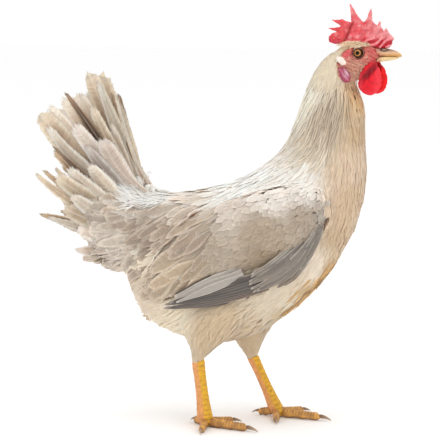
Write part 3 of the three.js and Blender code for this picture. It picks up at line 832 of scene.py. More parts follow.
# barbs leave the shaft at a slant, so their noise is stretched along that slant
slant = maths(feather, "MULTIPLY_ADD", out_share, -0.5, barb_axes[1])
barb_line = node(feather, "CombineXYZ", {0: barb_axes[0], 1: slant, 2: 0.0}).outputs[0]
fine_barbs, broad_barbs = (
    node(feather, "VectorMath", {0: barb_line, 1: stretch}, operation="MULTIPLY").outputs[0]
    for stretch in ((1.6, 15.0, 1.0), (0.8, 4.5, 1.0)))
barb_noise = cloud(feather, fine_barbs, 1.0, 3.0, 0.6)
broad_noise = cloud(feather, broad_barbs, 1.0, 2.0)
heart_rough = maths(feather, "MULTIPLY_ADD", barb_noise, 0.35, out_share)
heart_side = maths(feather, "SUBTRACT", feather_in["Heart Width"], heart_rough)
heart_soft = ranged(feather, heart_side, -0.3, 0.15, 0.0, 1.0, interpolation_type="SMOOTHSTEP")
heart_end = ranged(feather, vane_axes[1], 0.99, feather_in["Heart End"], 0.0, 1.0,
                   interpolation_type="SMOOTHSTEP")
heart_both = maths(feather, "MULTIPLY", heart_soft, heart_end)
heart_mask = maths(feather, "MULTIPLY", heart_both, feather_in["Heart"])
edge_paint, heart_paint = (own_layer(feather, colour).outputs["Color"] for colour in ("edge", "heart"))
two_tone = node(feather, "Mix", {0: heart_mask, 6: edge_paint, 7: heart_paint}, data_type="RGBA").outputs[2]
both_noise = maths(feather, "SUBTRACT", maths(feather, "ADD", barb_noise, broad_noise), 1.0)
barb_gain = maths(feather, "MULTIPLY_ADD", both_noise, feather_in["Barbs"], 1.0)
barbed = gained(feather, two_tone, barb_gain)
shaft_line = ranged(feather, out_share, 0.14, 0.03, 0.0, 1.0, interpolation_type="SMOOTHSTEP")
shaft_mask = maths(feather, "MULTIPLY", shaft_line, feather_in["Shaft"])
shafted = node(feather, "Mix", {0: shaft_mask, 6: barbed, 7: feather_in["Shaft Colour"]},
               data_type="RGBA").outputs[2]
wire(feather, feather_out, {
    "Color": shafted, "Height": maths(feather, "ADD", barb_noise, shaft_mask),
    "Roughness": ranged(feather, barb_noise, 0.0, 1.0, 0.5, 0.8)})


def plumage(name, heart_width, heart, barbs, shaft, shaft_colour=(250, 246, 238), bump=0.00025, sheen=0.15,
            heart_end=0.78):
    """A material of feathers with its own heart, barbs and shaft."""
    finish, tree, shader = material(name, 0.65, sheen=sheen, specular=0.25, glow=0.3)
    vane = node(tree, "Group", {"Heart Width": heart_width, "Heart": heart, "Heart End": heart_end,
                                "Barbs": barbs, "Shaft": shaft, "Shaft Colour": (*tint(*shaft_colour), 1)},
                node_tree=feather).outputs
    clad(tree, shader, vane, vane["Height"], 0.7, bump)
    return finish


least_depth, most_vary, lift_vary = 0.8, 0.4, 0.08


def by_x(size, more, start, end):
    """A size that grows by more as the roots' x goes from start to end."""
    return lambda roots: size + more * ramp(roots[:, 0], start, end)


def by_z(size, more, start, end):
    """A size that grows by more as the roots' z goes from start to end."""
    return lambda roots: size + more * ramp(roots[:, 2], start, end)


def coat(name, chosen, gap, long, half, seed, finish, lifts=(0.4, 0.95), steps=6, cling=0.7, stiff=1.0,
         stray=0.1, spread=0.15, regions=markings, **shape):
    """One piece of the coat: feathers of about one kind, sown over chosen triangles of the skin.

    lifts are the heights of root and tip in the coat, as shares of its depth, and spread is how
    much the feathers vary in size."""
    dice = np.random.default_rng(seed)
    roots = sow(chosen, gap, seed)
    count = len(roots)
    depth = np.maximum(coat_depth(roots), least_depth)
    vary = 1 + dice.normal(0, spread, count).clip(-most_vary, most_vary)
    size = np.broadcast_to(long(roots) if callable(long) else long, count)
    tip_lift = depth * lifts[1] * (1 + dice.normal(0, lift_vary, count))
    lines, ups = comb_over(roots, steps, size * vary, depth * lifts[0], tip_lift, cling, stiff, stray, dice)
    edge, heart = marking(lines[:, (2 * steps) // 3], regions)
    wide = np.broadcast_to(half(roots) if callable(half) else half, count)
    piece = vanes(name, lines, ups, wide * vary, dice, edge=edge, heart=heart, **shape)
    dress(piece, "plumage", finish)


in_neck = part_names == "neck"
in_head = part_names == "head"
in_trunk = part_names == "trunk"
in_tail = part_names == "tail"
in_thigh = (part_names == "thigh_right") | (part_names == "thigh_left")
side_x, side_y, side_z = side_middles.T
covered = face_share(side_middles) < 0.5


# ---------------------------------------------------------------------------------------------------
# The coat of the head and neck. Short narrow feathers cover crown, nape and throat; below them the
# long pointed hackles hang over each other and over the shoulders like a cape.
small_plumage = plumage("small_plumage", 0.5, 0.7, 0.2, 0.0)
head_x, _, _ = head_axes(side_middles)
on_shoulder = in_trunk & (side_z > 278) & (side_x > 60) & (side_x < 126)
neck_front = in_neck & (side_x > 144 - 0.25 * (350 - side_z))
fine_shape = dict(columns=3, thick=0.06)
coat("coat_head", covered & (in_head | (in_neck & (side_z > 362))), 1.05, by_z(6, 6, 396, 370), 0.74, 11,
     small_plumage, lifts=(0.55, 1.0), steps=4, rows=4, point=0.7, stray=0.12, camber=0.05, roll=0.05,
     tone=0.08, **fine_shape)
on_brow = in_head & (side_z > 397.2) & (head_x > -12) & (head_x < 31) & (side_fronts[:, 2] < 0.93)
coat("coat_brow", on_brow, 0.68, 7.2, 0.36, 14, small_plumage, lifts=(1.1, 4.4), steps=5,
     rows=5, point=0.85, stray=0.3, camber=0.1, cling=0.3, **fine_shape)
# thin pale bristles stand scattered over the naked cheek and throat
on_cheek = (face_share(side_middles) > 0.6) & (side_z < 389) & (head_x < 34) & in_head
coat("coat_cheek", on_cheek, 1.6, 3.0, 0.14, 15, small_plumage, lifts=(0.1, 0.6), steps=4,
     regions={"bristle": (20, 380, 20, (240, 216, 190), (228, 198, 168))},
     rows=3, point=0.8, stray=0.3, cling=0.3, **fine_shape)
hackle_plumage = plumage("hackle_plumage", 0.45, 0.9, 0.3, 0.1)
coat("coat_hackle", (in_neck & (side_z <= 366) & ~neck_front) | on_shoulder, 2.8,
     lambda r: 18 + 34 * ramp(r[:, 2], 366, 318) - 32 * ramp(r[:, 2], 306, 286),
     by_z(1.3, 1.7, 366, 318), 12, hackle_plumage, lifts=(0.5, 1.1), steps=10, rows=9, point=0.85,
     tip=0.4, stray=0.09, camber=0.16, roll=0.08, spread=0.22, stiff=2.0, cling=0.6, tone=0.07)
buff_plumage = plumage("buff_plumage", 0.5, 0.35, 0.22, 0.0)
buff_shape = dict(lifts=(0.65, 0.95), ragged=0.08, thick=0.1)
coat("coat_neck_front", neck_front & (side_z <= 366), 2.1, 15.0, 1.7, 13, buff_plumage,
     point=0.7, tip=0.7, camber=0.06, roll=0.05, **buff_shape)


# ---------------------------------------------------------------------------------------------------
# The coat of the body. Small rounded feathers lie smooth over breast and shoulders, lance-shaped ones
# over back and saddle, and loose soft ones cover flanks, belly, vent and thighs.
on_top = (side_fronts[:, 2] > 0.3) & (side_z > 215)
in_wing = (part_names == "wing_right") | (part_names == "wing_left")
wing_front = in_wing & (side_x > 120.5)
breast_side = (in_trunk & (side_x > 62) & ~on_shoulder & ~(on_top & (side_x < 95))) | wing_front
saddle_side = in_trunk & (side_z > 200) & (side_x < -10)
wing_clear = 6.0
by_wing = part_gaps[[part.startswith("wing") for part in flesh_trees]].min(axis=0) < wing_clear
back_side = in_trunk & ~breast_side & ~on_shoulder & (on_top | saddle_side)
soft_side = in_trunk & ~breast_side & ~back_side & ~on_shoulder
coat("coat_breast", breast_side, 2.35, 16.0, 2.3, 21, buff_plumage,
     point=0.6, tip=0.8, camber=0.05, roll=0.04, **buff_shape)
back_plumage = plumage("back_plumage", 0.42, 0.75, 0.25, 0.2)
coat("coat_back", back_side & ~(by_wing & (side_x > 40)), 3.2 + 2.2 * ramp(side_x, 40, -20),
     by_x(30, 20, 40, -40), by_x(2.5, 2.0, 40, -20), 22, back_plumage, steps=9, rows=9, columns=7,
     point=0.65, tip=0.7, stray=0.12, lifts=(0.5, 1.35), stiff=2.0, cling=0.35, camber=0.12,
     thick=0.14, fray=0.12, tone=0.09)
soft_plumage = plumage("soft_plumage", 0.5, 0.45, 0.35, 0.0, bump=0.0004, sheen=0.3)
soft_shape = dict(columns=3, point=0.8, tip=0.5, ragged=0.12, camber=0.06, roll=0.06, thick=0.1)
coat("coat_belly", soft_side & (side_x > -20), 2.7, 18.0, 1.7, 23, soft_plumage, stray=0.16,
     lifts=(0.6, 1.05), cling=0.6, **soft_shape)
coat("coat_vent", soft_side & (side_x <= -20), 2.7, 24.0, 1.6, 25, soft_plumage, stray=0.15,
     lifts=(0.5, 1.1), cling=0.4, stiff=2.0, **soft_shape)
coat("coat_thighs", in_thigh, 2.0, by_z(8, 9, 80, 110), by_z(1.0, 0.6, 80, 110), 24, soft_plumage,
     steps=5, stray=0.15, lifts=(0.5, 1.1), **soft_shape)
coat("coat_hocks", in_thigh & (side_z < 92) & (side_fronts[:, 2] > -0.6), 1.4, 13.0, 0.9, 27,
     soft_plumage, steps=5, lifts=(0.4, 1.0), cling=0.0, stiff=8.0, **soft_shape)
keel_markings = {
    "keel_gold": (112, 160, 22, (216, 164, 98), (180, 126, 68)),
    "keel_brown": (104, 128, 14, (208, 156, 92), (148, 102, 56)),
}
# the gold feathers thin out towards the breast and towards the flanks
under_breast = 0.75 * side_fronts[:, 0] - 0.66 * side_fronts[:, 2]
keel_rim = 0.83 + 0.1 * ramp(side_x, 110, 128)
keel_side = in_trunk & (under_breast > keel_rim) & (side_x > 78) & (side_z < 178)
keel_gap = 2.5 + 4.0 * ramp(under_breast, 0.93, 0.83) + 6.0 * ramp(np.abs(side_y), 14, 32)
coat("coat_keel", keel_side, keel_gap, 17.0, 1.6, 26, buff_plumage, regions=keel_markings, steps=7,
     rows=7, point=0.8, tip=0.6, lifts=(0.8, 1.25), stiff=1.5, camber=0.1, tone=0.26, thick=0.12)


# ---------------------------------------------------------------------------------------------------
# The wings, folded against the body. Rows of feathers lie over each other from the wing's lower edge
# up: slate primaries, grey primary coverts from the wrist, paler secondaries, long tan tertials, and
# over them all the small scaly coverts of the shoulder.
wing_markings = {
    "wrist": (118, 224, 12, (182, 167, 152), (164, 149, 136)),
    "wing_front": (98, 222, 18, (190, 170, 150), (175, 153, 132)),
    "wing_high": (64, 250, 24, (248, 235, 222), (238, 223, 209)),
    "wing_crest": (102, 252, 14, (246, 236, 222), (228, 212, 198)),
    "wing_ridge": (16, 234, 22, (232, 214, 198), (212, 193, 176)),
    "wing_middle": (58, 212, 24, (190, 168, 145), (175, 152, 129)),
    "wing_low": (62, 182, 18, (171, 148, 123), (155, 132, 108)),
    "wing_back": (-10, 200, 24, (198, 178, 157), (168, 147, 126)),
    "wing_corner": (-40, 150, 20, (208, 187, 162), (170, 146, 121)),
}
flight_sides = []
flight_spots = []
for node_name in ("flight_feathers_right", "flight_feathers_left"):
    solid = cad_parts[node_name]
    first = len(flight_spots)
    flight_sides += [[corner + first for corner in face.vertices] for face in solid.data.polygons]
    flight_spots += corners(solid).tolist()
wing_tree = BVHTree.FromPolygons(
    skin_spots.tolist() + flight_spots,
    skin_sides.tolist() + [[corner + len(skin_spots) for corner in side] for side in flight_sides])


clear_side, least_side = 200.0, 25.0


def beside(profile, hand, last=58.0):
    """How far out the bird's flank lies at places (x, z) of its profile; hand is -1 for her right."""
    out = []
    for x, z in profile:
        outside = Vector((x, hand * clear_side, z))
        hit = wing_tree.ray_cast(outside, Vector((0, -hand, 0)), clear_side - 1)[0]
        last = abs(hit.y) if hit is not None and abs(hit.y) > least_side else last
        out.append(last)
    return np.array(out)


def wing_row(roots, tips, count, bows, deep, hand, dice, steps=14, jog=1.2, ease=3):
    """Centre lines of a row of feathers, from a line of roots to a line of tips on the profile.

    Both lines start at the lowest feather. bows is how far the lowest and the highest sag in their
    middle, deep how far root and tip lie under the wing's surface, jog how far the tips stand out
    of line, and ease how many steps to each side are evened out."""
    lines = np.empty((count, steps, 3))
    along = np.linspace(0, 1, steps)
    for number, share in enumerate(np.linspace(0, 1, count)):
        start, end = (
            np.array([np.interp(share, np.linspace(0, 1, len(line)), [spot[axis] for spot in line])
                      for axis in (0, 1)]) for line in (roots, tips))
        end = end + dice.normal(0, jog, 2)
        flat = start + (end - start) * along[:, None]
        flat[:, 1] -= (bows[0] + (bows[1] - bows[0]) * share) * np.sin(math.pi * along ** 0.85)
        out = beside(flat, hand)
        out = np.convolve(np.pad(out, ease, mode="edge"), np.ones(2 * ease + 1) / (2 * ease + 1),
                          mode="valid")
        out = out - deep[0] - (deep[1] - deep[0]) * along
        lines[number] = np.column_stack([flat[:, 0], hand * out, flat[:, 1]])
    ups = np.zeros_like(lines)
    ups[..., 1] = hand
    return lines, ups


def wing_feathers(name, rows, hand, dice):
    """One piece of rows of wing feathers. A row is its roots and tips from the lowest up, the count,
    bows, depth, half width, heart and edge colours, point and lop."""
    made = []
    for roots, tips, count, bows, deep, half, heart, edge, point, lop in rows:
        lines, ups = wing_row(roots, tips, count, bows, deep, hand, dice)
        made.append(vanes(
            name, lines, ups, np.full(count, half), dice, rows=14, columns=7, point=point, tip=0.8,
            ragged=0.02, fray=0.08, camber=0.07, thick=0.2, roll=0.04, waist=0.6, lean=-0.08 * hand,
            lop=-lop * hand, edge=np.tile(tint(*edge), (count, 1)),
            heart=np.tile(tint(*heart), (count, 1)), tone=0.1))
    piece = joined(made)
    piece.name = name
    return piece


slate_plumage = plumage("slate_plumage", 0.92, 0.95, 0.3, 0.3, shaft_colour=(170, 160, 150), bump=0.0002,
                        heart_end=0.92)
tan_plumage = plumage("tan_plumage", 0.8, 0.75, 0.28, 0.1, shaft_colour=(206, 192, 172))
slate, slate_edge = (84, 76, 72), (150, 140, 131)
grey, grey_edge = (124, 114, 105), (190, 179, 165)
pale_grey, pale_edge = (166, 156, 147), (212, 200, 186)
tan, tan_edge, cream_edge = (168, 147, 123), (200, 184, 162), (216, 204, 186)
brown, brown_edge = (78, 60, 45), (128, 106, 84)
flight_rows = (
    (((66, 150), (58, 168)), ((-48, 126), (-42, 133)), 7, (4, 1), (3.0, 0.8), 4.8, slate, slate_edge,
     0.8, 0.45),
    (((40, 166), (34, 178)), ((-35, 136), (-36, 144)), 4, (1, 1), (2.4, -0.2), 4.4, pale_grey, pale_edge,
     0.8, 0.3),
    (((30, 176), (22, 182)), ((-49, 134), (-48, 140)), 2, (1, 1), (1.8, -1.2), 3.6, slate, brown_edge,
     0.8, 0.3),
    (((117, 210), (110, 216)), ((62, 149), (49, 150), (44, 158), (48, 169)), 9, (17, 8), (1.6, -0.6), 4.2,
     grey, grey_edge, 0.8, 0.5),
    (((121, 221), (116, 216)), ((103, 184), (90, 163), (74, 158)), 5, (7, 11), (1.0, -0.6), 3.0,
     grey, grey_edge, 0.85, 0.3),
    # painted shade: a few small dark brown feathers at the wrist stand for the shadow in the gap between
    # wing and breast
    (((129, 242), (125, 244)), ((127, 221), (122, 214)), 4, (0, 0), (1.5, -2.2), 1.9, brown, brown_edge,
     0.7, 0.0),
)
dusk = (150, 130, 108)
tertial_rows = (
    (((36, 182), (30, 196), (14, 222)), ((-48, 141), (-58, 152), (-54, 172)), 8, (2, 4), (0.0, -2.6), 6.0,
     tan, tan_edge, 0.65, 0.2),
    (((40, 190), (34, 212), (20, 234)), ((-26, 153), (-40, 168), (-36, 190)), 8, (2, 4), (-0.4, -3.4), 5.4,
     dusk, cream_edge, 0.7, 0.2),
)
hands = ((-1, "right"), (1, "left"))
for hand, name in hands:
    dice = np.random.default_rng(31 + hand)
    flight = wing_feathers("flight_feathers_coat_" + name, flight_rows, hand, dice)
    dress(flight, "flight_feather", slate_plumage, "flight_feathers_" + name)
    tertials = wing_feathers("tertials_" + name, tertial_rows, hand, dice)
    dress(tertials, "plumage", tan_plumage)
    own_side = part_names == "wing_" + name
    dome_side = own_side & (side_x > 6 + 0.36 * (side_z - 182)) & ~wing_front
    coat("coat_wing_" + name, dome_side, 2.8 + 1.4 * ramp(side_x, 100, 20),
         by_x(11, 8, 105, 20), by_x(2.9, 1.6, 105, 20), 33 + hand, tan_plumage, regions=wing_markings,
         rows=7, columns=7, point=0.3, ragged=0.08, fray=0.1, lifts=(0.65, 1.05), cling=0.9,
         camber=0.05, roll=0.04, thick=0.12, tone=0.045, stray=0.08)
    coat("coat_wing_back_" + name, own_side & ~dome_side & ~wing_front, 4.6, 34.0, 3.4, 36 + hand,
         tan_plumage, regions=wing_markings, steps=8, rows=8, point=0.65, ragged=0.06, stray=0.07,
         fray=0.12, lifts=(0.5, 0.9), cling=0.8, stiff=1.5, camber=0.1, roll=0.06, thick=0.14, tone=0.08)


# ---------------------------------------------------------------------------------------------------
# The saddle. Long broad feathers hang loose over the rump's sides, the wings' rear ends and the root
# of the tail, each with a rounded end, clear barbs and a shadow under it.
saddle_markings = {
    "mantle": (0, 234, 18, (239, 224, 209), (214, 195, 178)),
    "saddle_high": (-32, 238, 16, (234, 216, 200), (206, 186, 168)),
    "saddle_low": (-38, 192, 24, (203, 181, 161), (158, 137, 118)),
    "corner": (-40, 160, 16, (216, 193, 167), (176, 151, 125)),
    "tail_low": (-114, 186, 18, (224, 207, 191), (184, 166, 151)),
    "rump_high": (-92, 234, 14, (232, 217, 203), (208, 191, 175)),
    "rump_low": (-86, 196, 22, (186, 166, 148), (146, 126, 110)),
}
lance_plumage = plumage("lance_plumage", 0.72, 0.8, 0.62, 0.03)
over_saddle = ((in_trunk | in_tail | in_wing) & (side_x < 4) & (side_z < 246)
               & (side_z > 158 + 24 * ramp(side_x, -48, -62))
               & (np.abs(side_fronts[:, 1]) > 0.35) & (side_fronts[:, 0] > -0.7))
coat("saddle_feathers", over_saddle, 8.6, by_x(38, 8, 0, -40), 6.4, 47, lance_plumage,
     regions=saddle_markings, steps=9, rows=14, columns=9, point=0.5, tip=0.9, ragged=0.05, fray=0.1,
     stray=0.15, spread=0.24, lifts=(0.8, 1.8), cling=0.45, stiff=2.0, camber=0.12, roll=0.1, waist=0.4,
     full=0.55, thick=0.12, tone=0.08)


# ---------------------------------------------------------------------------------------------------
# The tail. Broad main feathers stand up in a fan on each side, with shorter ones beside and between
# them, cream at the edges and tan, grey or brown at the heart; round coverts overlap their roots,
# soft ones fill its underside, and white down lies over its top.
tail_colours = {
    "cream": ((232, 220, 205), (190, 172, 153)),
    "tan": ((224, 208, 186), (170, 150, 126)),
    "grey": ((226, 212, 200), (186, 170, 156)),
    "cool": ((206, 194, 184), (156, 144, 134)),
    # brown hearts are partly the feathers' own dark brown and partly painted shade; the dark feathers are
    # painted shade, narrow vanes for shadowed undersides seen between the others
    "brown": ((190, 168, 140), (112, 88, 66)),
    "dark": ((150, 126, 102), (60, 44, 34)),
}
tail_feathers = [
    # root and tip on the profile, root and tip out from the middle, half width, sag, point, colours
    ((-70, 237), (-117, 342), 3, 5, 6.5, 8, 0.4, "cream"),
    ((-80, 248), (-113, 345), 6, 10, 4.6, 5, 0.6, "dark"),
    ((-76, 230), (-139, 368), 4, 9, 14.5, 2, 0.3, "tan"),
    ((-74, 234), (-128, 360), 6, 11, 7.5, 4, 0.5, "cream"),
    ((-82, 226), (-165, 345), 6, 16, 13.5, 0, 0.4, "cream"),
    ((-80, 232), (-148, 348), 7, 15, 7.5, 1, 0.5, "cream"),
    ((-92, 240), (-161, 347), 9, 21, 7.5, -2, 0.8, "dark"),
    ((-88, 222), (-188, 325), 8, 24, 16.0, 2, 0.3, "tan"),
    ((-86, 226), (-178, 333), 8, 22.5, 10.0, -1, 0.45, "cream"),
    ((-88, 224), (-180, 312), 9, 25.5, 8.5, 5, 0.45, "cream"),
    ((-84, 230), (-152, 314), 10, 24, 11.0, 0, 0.35, "grey"),
    ((-92, 216), (-172, 286), 10, 29, 8.0, 5, 0.55, "brown"),
    ((-92, 218), (-172, 291), 10, 31, 5.0, 4, 0.8, "dark"),
    ((-96, 212), (-191, 262), 11, 34, 8.0, 8, 0.75, "tan"),
    ((-94, 214), (-182, 266), 12, 34.5, 6.0, 6, 0.7, "brown"),
    ((-98, 204), (-187, 219), 12, 33, 8.0, 7, 0.8, "brown"),
    ((-97, 206), (-178, 216), 12, 33.5, 6.0, 8, 0.7, "cream"),
    ((-96, 190), (-150, 181), 12, 26, 9.0, 3, 0.7, "grey"),
    ((-92, 182), (-138, 171), 12, 24, 8.0, 2, 0.7, "tan"),
    ((-80, 238), (-133, 333), 10, 19, 9.5, 4, 0.45, "tan"),
    ((-76, 242), (-120, 300), 14, 27, 13.5, 7, 0.25, "grey"),
    ((-78, 240), (-112, 314), 11, 16, 6.5, 4, 0.6, "cream"),
    ((-84, 232), (-138, 292), 15, 23, 10.0, 4, 0.5, "cool"),
    ((-88, 228), (-134, 272), 17, 27, 11.0, 5, 0.35, "cream"),
    ((-92, 218), (-169, 260), 16, 33, 11.5, 6, 0.35, "tan"),
    ((-90, 222), (-156, 268), 17, 32, 10.0, 6, 0.4, "cream"),
    ((-94, 208), (-160, 227), 18, 33, 11.0, 5, 0.35, "tan"),
    ((-92, 210), (-152, 240), 19, 33, 10.0, 5, 0.4, "cream"),
    ((-92, 196), (-147, 203), 19, 31, 10.5, 4, 0.35, "grey"),
]
tail_steps = 12
tail_dice = np.random.default_rng(41)
tail_lines, tail_ups = [], []
for hand in (-1, 1):
    for root, tip, root_out, tip_out, half, sag, point, colour in tail_feathers:
        jog = tail_dice.normal(2.5, 1.5, 2) if hand == 1 else np.zeros(2)
        start = np.array([root[0], hand * root_out, root[1]], float)
        end = np.array([tip[0] + abs(jog[0]), hand * tip_out, tip[1] - abs(jog[1])], float)
        run = unit(end - start)
        above = np.array([run[2], 0, -run[0]])
        along = np.linspace(0, 1, tail_steps)[:, None]
        sway = tail_dice.normal(0, 1.2) * np.sin(2 * math.pi * along)
        tail_lines.append(start + (end - start) * along - above * (sag * np.sin(math.pi * along) + sway))
        tail_ups.append(np.tile(unit(np.array([-0.3, hand, 0.1])), (tail_steps, 1)))
tail_lines, tail_ups = np.array(tail_lines), np.array(tail_ups)
both_sides = tail_feathers * 2
tail_half, tail_point = (np.array([row[column] for row in both_sides]) for column in (4, 6))
tail_edge, tail_heart = (
    np.array([tint(*tail_colours[row[7]][part]) for row in both_sides]) for part in (0, 1))
tail_plumage = plumage("tail_plumage", 0.75, 0.8, 0.6, 0.3, shaft_colour=(232, 222, 208), bump=0.0004)
fan_columns, fan_rows = 17, 30
tail_fan = vanes(
    "tail_fan", tail_lines, tail_ups, tail_half, tail_dice, rows=fan_rows, columns=fan_columns,
    point=tail_point, tip=0.9, ragged=0.03, fray=0.08, camber=0.1, thick=0.4, roll=0.12, waist=0.3,
    full=0.65, edge=tail_edge, heart=tail_heart, tone=0.07)
dress(tail_fan, "plumage", tail_plumage, "tail")
# loose barbs stand out all round the rim of each tail feather's outer two thirds
fan_spots = corners(tail_fan).reshape(len(tail_half), fan_rows, fan_columns + 1, 3)
loose_rows = np.arange(fan_rows // 3, fan_rows)
last_row, shaft_column, barb_slant = fan_rows - 1, fan_columns // 2, 5
rim = np.concatenate([
    fan_spots[:, loose_rows, 0], fan_spots[:, last_row, 1:fan_columns - 1],
    fan_spots[:, loose_rows[::-1], fan_columns - 1]], axis=1)
rim_rows = np.concatenate([loose_rows, np.full(fan_columns - 2, last_row), loose_rows[::-1]])
rim_shaft = fan_spots[:, rim_rows - barb_slant, shaft_column]
fringe_dice = np.random.default_rng(44)
barbs_each = 120
owner = np.repeat(np.arange(len(tail_half)), barbs_each)
at_rim = fringe_dice.uniform(0, rim.shape[1] - 1.001, len(owner))
low_rim, rim_part = at_rim.astype(int), (at_rim % 1)[:, None]
barb_end = rim[owner, low_rim] * (1 - rim_part) + rim[owner, low_rim + 1] * rim_part
barb_from = rim_shaft[owner, low_rim] * (1 - rim_part) + rim_shaft[owner, low_rim + 1] * rim_part
barb_way = unit(unit(barb_end - barb_from) + fringe_dice.normal(0, 0.12, barb_end.shape))
barb_steps = 4
barb_reach = fringe_dice.uniform(1.4, 4.4, len(owner))[:, None] * np.linspace(0, 1, barb_steps)[None, :]
barb_lines = barb_end[:, None, :] + barb_way[:, None, :] * (barb_reach[:, :, None] - 1.0)
barb_ups = np.repeat(tail_ups[owner, :1], barb_steps, axis=1)
fringe = vanes("tail_fringe", barb_lines, barb_ups, np.full(len(owner), 0.25), fringe_dice, rows=3,
               columns=3, point=0.8, tip=0.4, roll=0.3, thick=0.1, edge=tail_edge[owner],
               heart=tail_edge[owner], tone=0.08)
dress(fringe, "plumage", soft_plumage)
round_tail = in_tail | (in_trunk & (side_x < -50) & (side_z > 172))
tail_end_side = round_tail & ((side_fronts[:, 0] <= -0.5) | (side_fronts[:, 2] < -0.3))
covert_side = round_tail & ~tail_end_side
coat("coat_tail", covert_side, 7.0 - 3.4 * ramp(side_z, 205, 182),
     lambda r: (32 + 14 * ramp(r[:, 0], -80, -120)) * (1 - 0.4 * ramp(r[:, 2], 205, 182)),
     by_z(8.8, -4.6, 205, 182), 42, tail_plumage, steps=8, rows=12, columns=9,
     point=0.25, ragged=0.03, fray=0.08, stray=0.2, lifts=(0.4, 1.5), cling=0.08, stiff=3.0,
     camber=0.16, roll=0.14, thick=0.2, tone=0.08, full=0.6)
coat("coat_tail_end", tail_end_side, 1.7, 21.0, 1.7, 45, soft_plumage, stray=0.2,
     lifts=(0.5, 2.2), cling=0.5, stiff=1.5, **soft_shape)
down_plumage = plumage("down_plumage", 0.5, 0.0, 0.12, 0.0, bump=0.0002, sheen=0.3)
down_markings = {"down": (-66, 243, 30, (255, 251, 245), (252, 247, 240))}
down_side = (in_tail | in_trunk) & (side_z > 228) & (side_x > -94) & (side_x < -54) & (np.abs(side_y) > 5)
coat("coat_rump_down", down_side, 0.95, 17.0, 0.48, 43, down_plumage, regions=down_markings,
     stray=0.32, lifts=(1.5, 2.9), cling=0.4, stiff=1.5, **soft_shape)


# ---------------------------------------------------------------------------------------------------
# The comb: one upright blade of red skin with pointed tines, thick and folded along the brow, its
# back part leaning to her right, and pebbled all over.
def smooth_copy(node_name, name, voxel, passes):
    """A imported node's form as a fine even mesh with its facets rounded off."""
    piece = merged_copy(node_name, name)
    remesh(piece, voxel, passes)
    piece.data.shade_smooth()
    return piece


def off_head(head):
    """Places of the bird for places in the head's own frame."""
    x = head[:, 0] - head_pivot
    cosine, sine = math.cos(head_turn), math.sin(head_turn)
    return np.column_stack([
        head_pivot + x * cosine + head[:, 1] * sine, head[:, 1] * cosine - x * sine, head[:, 2]])


# the two tall tines whose feet are drawn in: foot and tip on the profile, and half the foot's width
drawn_tines = ((27.3, 420.5, 29.4, 436.5, 6.6), (38.1, 416.5, 39.0, 424.0, 4.4))
comb = smooth_copy("comb", "comb_skin", 0.0006, 4)
comb_spots = corners(comb)
comb_head = on_head(comb_spots)
comb_x, comb_z = comb_head[:, 0] - head_pivot, comb_head[:, 2]
for foot_x, foot_z, tip_x, tip_z, half_foot in drawn_tines:
    tine_up = (comb_z - foot_z) / (tip_z - foot_z)
    tine_x = foot_x + (tip_x - foot_x) * tine_up
    on_tine = ramp(tine_up, 0.0, 0.25) * (np.abs(comb_x - tine_x) < half_foot + 1)
    squeeze = 1 - 0.32 * on_tine * (1 - ramp(tine_up, 0.35, 0.85))
    comb_head[:, 0] += (squeeze - 1) * (comb_x - tine_x)
comb_spots = off_head(comb_head)
comb_x = comb_head[:, 0] - head_pivot
comb_fold = rise(comb_x - 9.6 - 0.375 * (comb_z - 421), 0, 1.7)
comb_fold = comb_fold * ramp(comb_z, 424, 420) * ramp(comb_z, 401, 404)
brow_folds = ramp(comb_z, 409, 403) * ramp(comb_x, 16, 27)
comb_waves = np.sin(0.62 * comb_x - 0.85 * (comb_z - 400) + 1.3 * np.sin(0.3 * comb_x))
comb_swell = 1.6 * ramp(comb_z, 415, 401) - 1.4 * comb_fold + 0.9 * brow_folds * comb_waves
comb_cloud = rumple(comb_spots, 0.2, 1.0)
comb_beads = rumple(comb_spots, 0.55, 0.6) + rumple(comb_spots, 1.1, 0.45) * ramp(comb_z, 428, 418)
# the blade swells sideways more than up, so that its tines keep their height
swell_way = outward(comb)
swell_way[:, 2] *= 0.25
set_corners(comb, comb_spots + swell_way * (comb_swell + comb_beads)[:, None])
paint(comb, "tone", layered(
    (224, 78, 86),
    (ramp(comb_z, 414, 430), (226, 104, 108)),
    (ramp(comb_x, 20, 36) * 0.9, (230, 140, 142)),
    (ramp(comb_x, 8, -4) * 0.8, (218, 62, 64)),
    (ramp(comb_cloud, 0.05, 0.5) * 0.5, (240, 160, 162)),
    (ramp(comb_cloud, -0.05, -0.5) * 0.55, (206, 46, 56)),
    # painted highlight on the bead tops, and painted shade in the dips between them
    (ramp(comb_beads, 0.1, 0.7) * 0.6, (248, 176, 178)),
    (ramp(comb_beads, -0.1, -0.6) * 0.6, (200, 36, 50)),
    (ramp(comb_z, 407, 403) * ramp(comb_x, 14, 6) * 0.8, (196, 30, 52)),
    # painted shade in the long fold and in the brow folds' furrows, and a painted highlight on their crests
    (comb_fold, (160, 4, 18)),
    (brow_folds * ramp(comb_waves, 0.5, -0.2), (190, 4, 34)),
    (0.6 * brow_folds * ramp(comb_waves, 0.4, 1.0), (240, 140, 148)),
))
red_skin = bare_skin("red_skin", 700.0, 0.24, 0.0005, specular=0.45, coat=0.1, glow=0.25)
dress(comb, "comb_skin", red_skin, "comb")
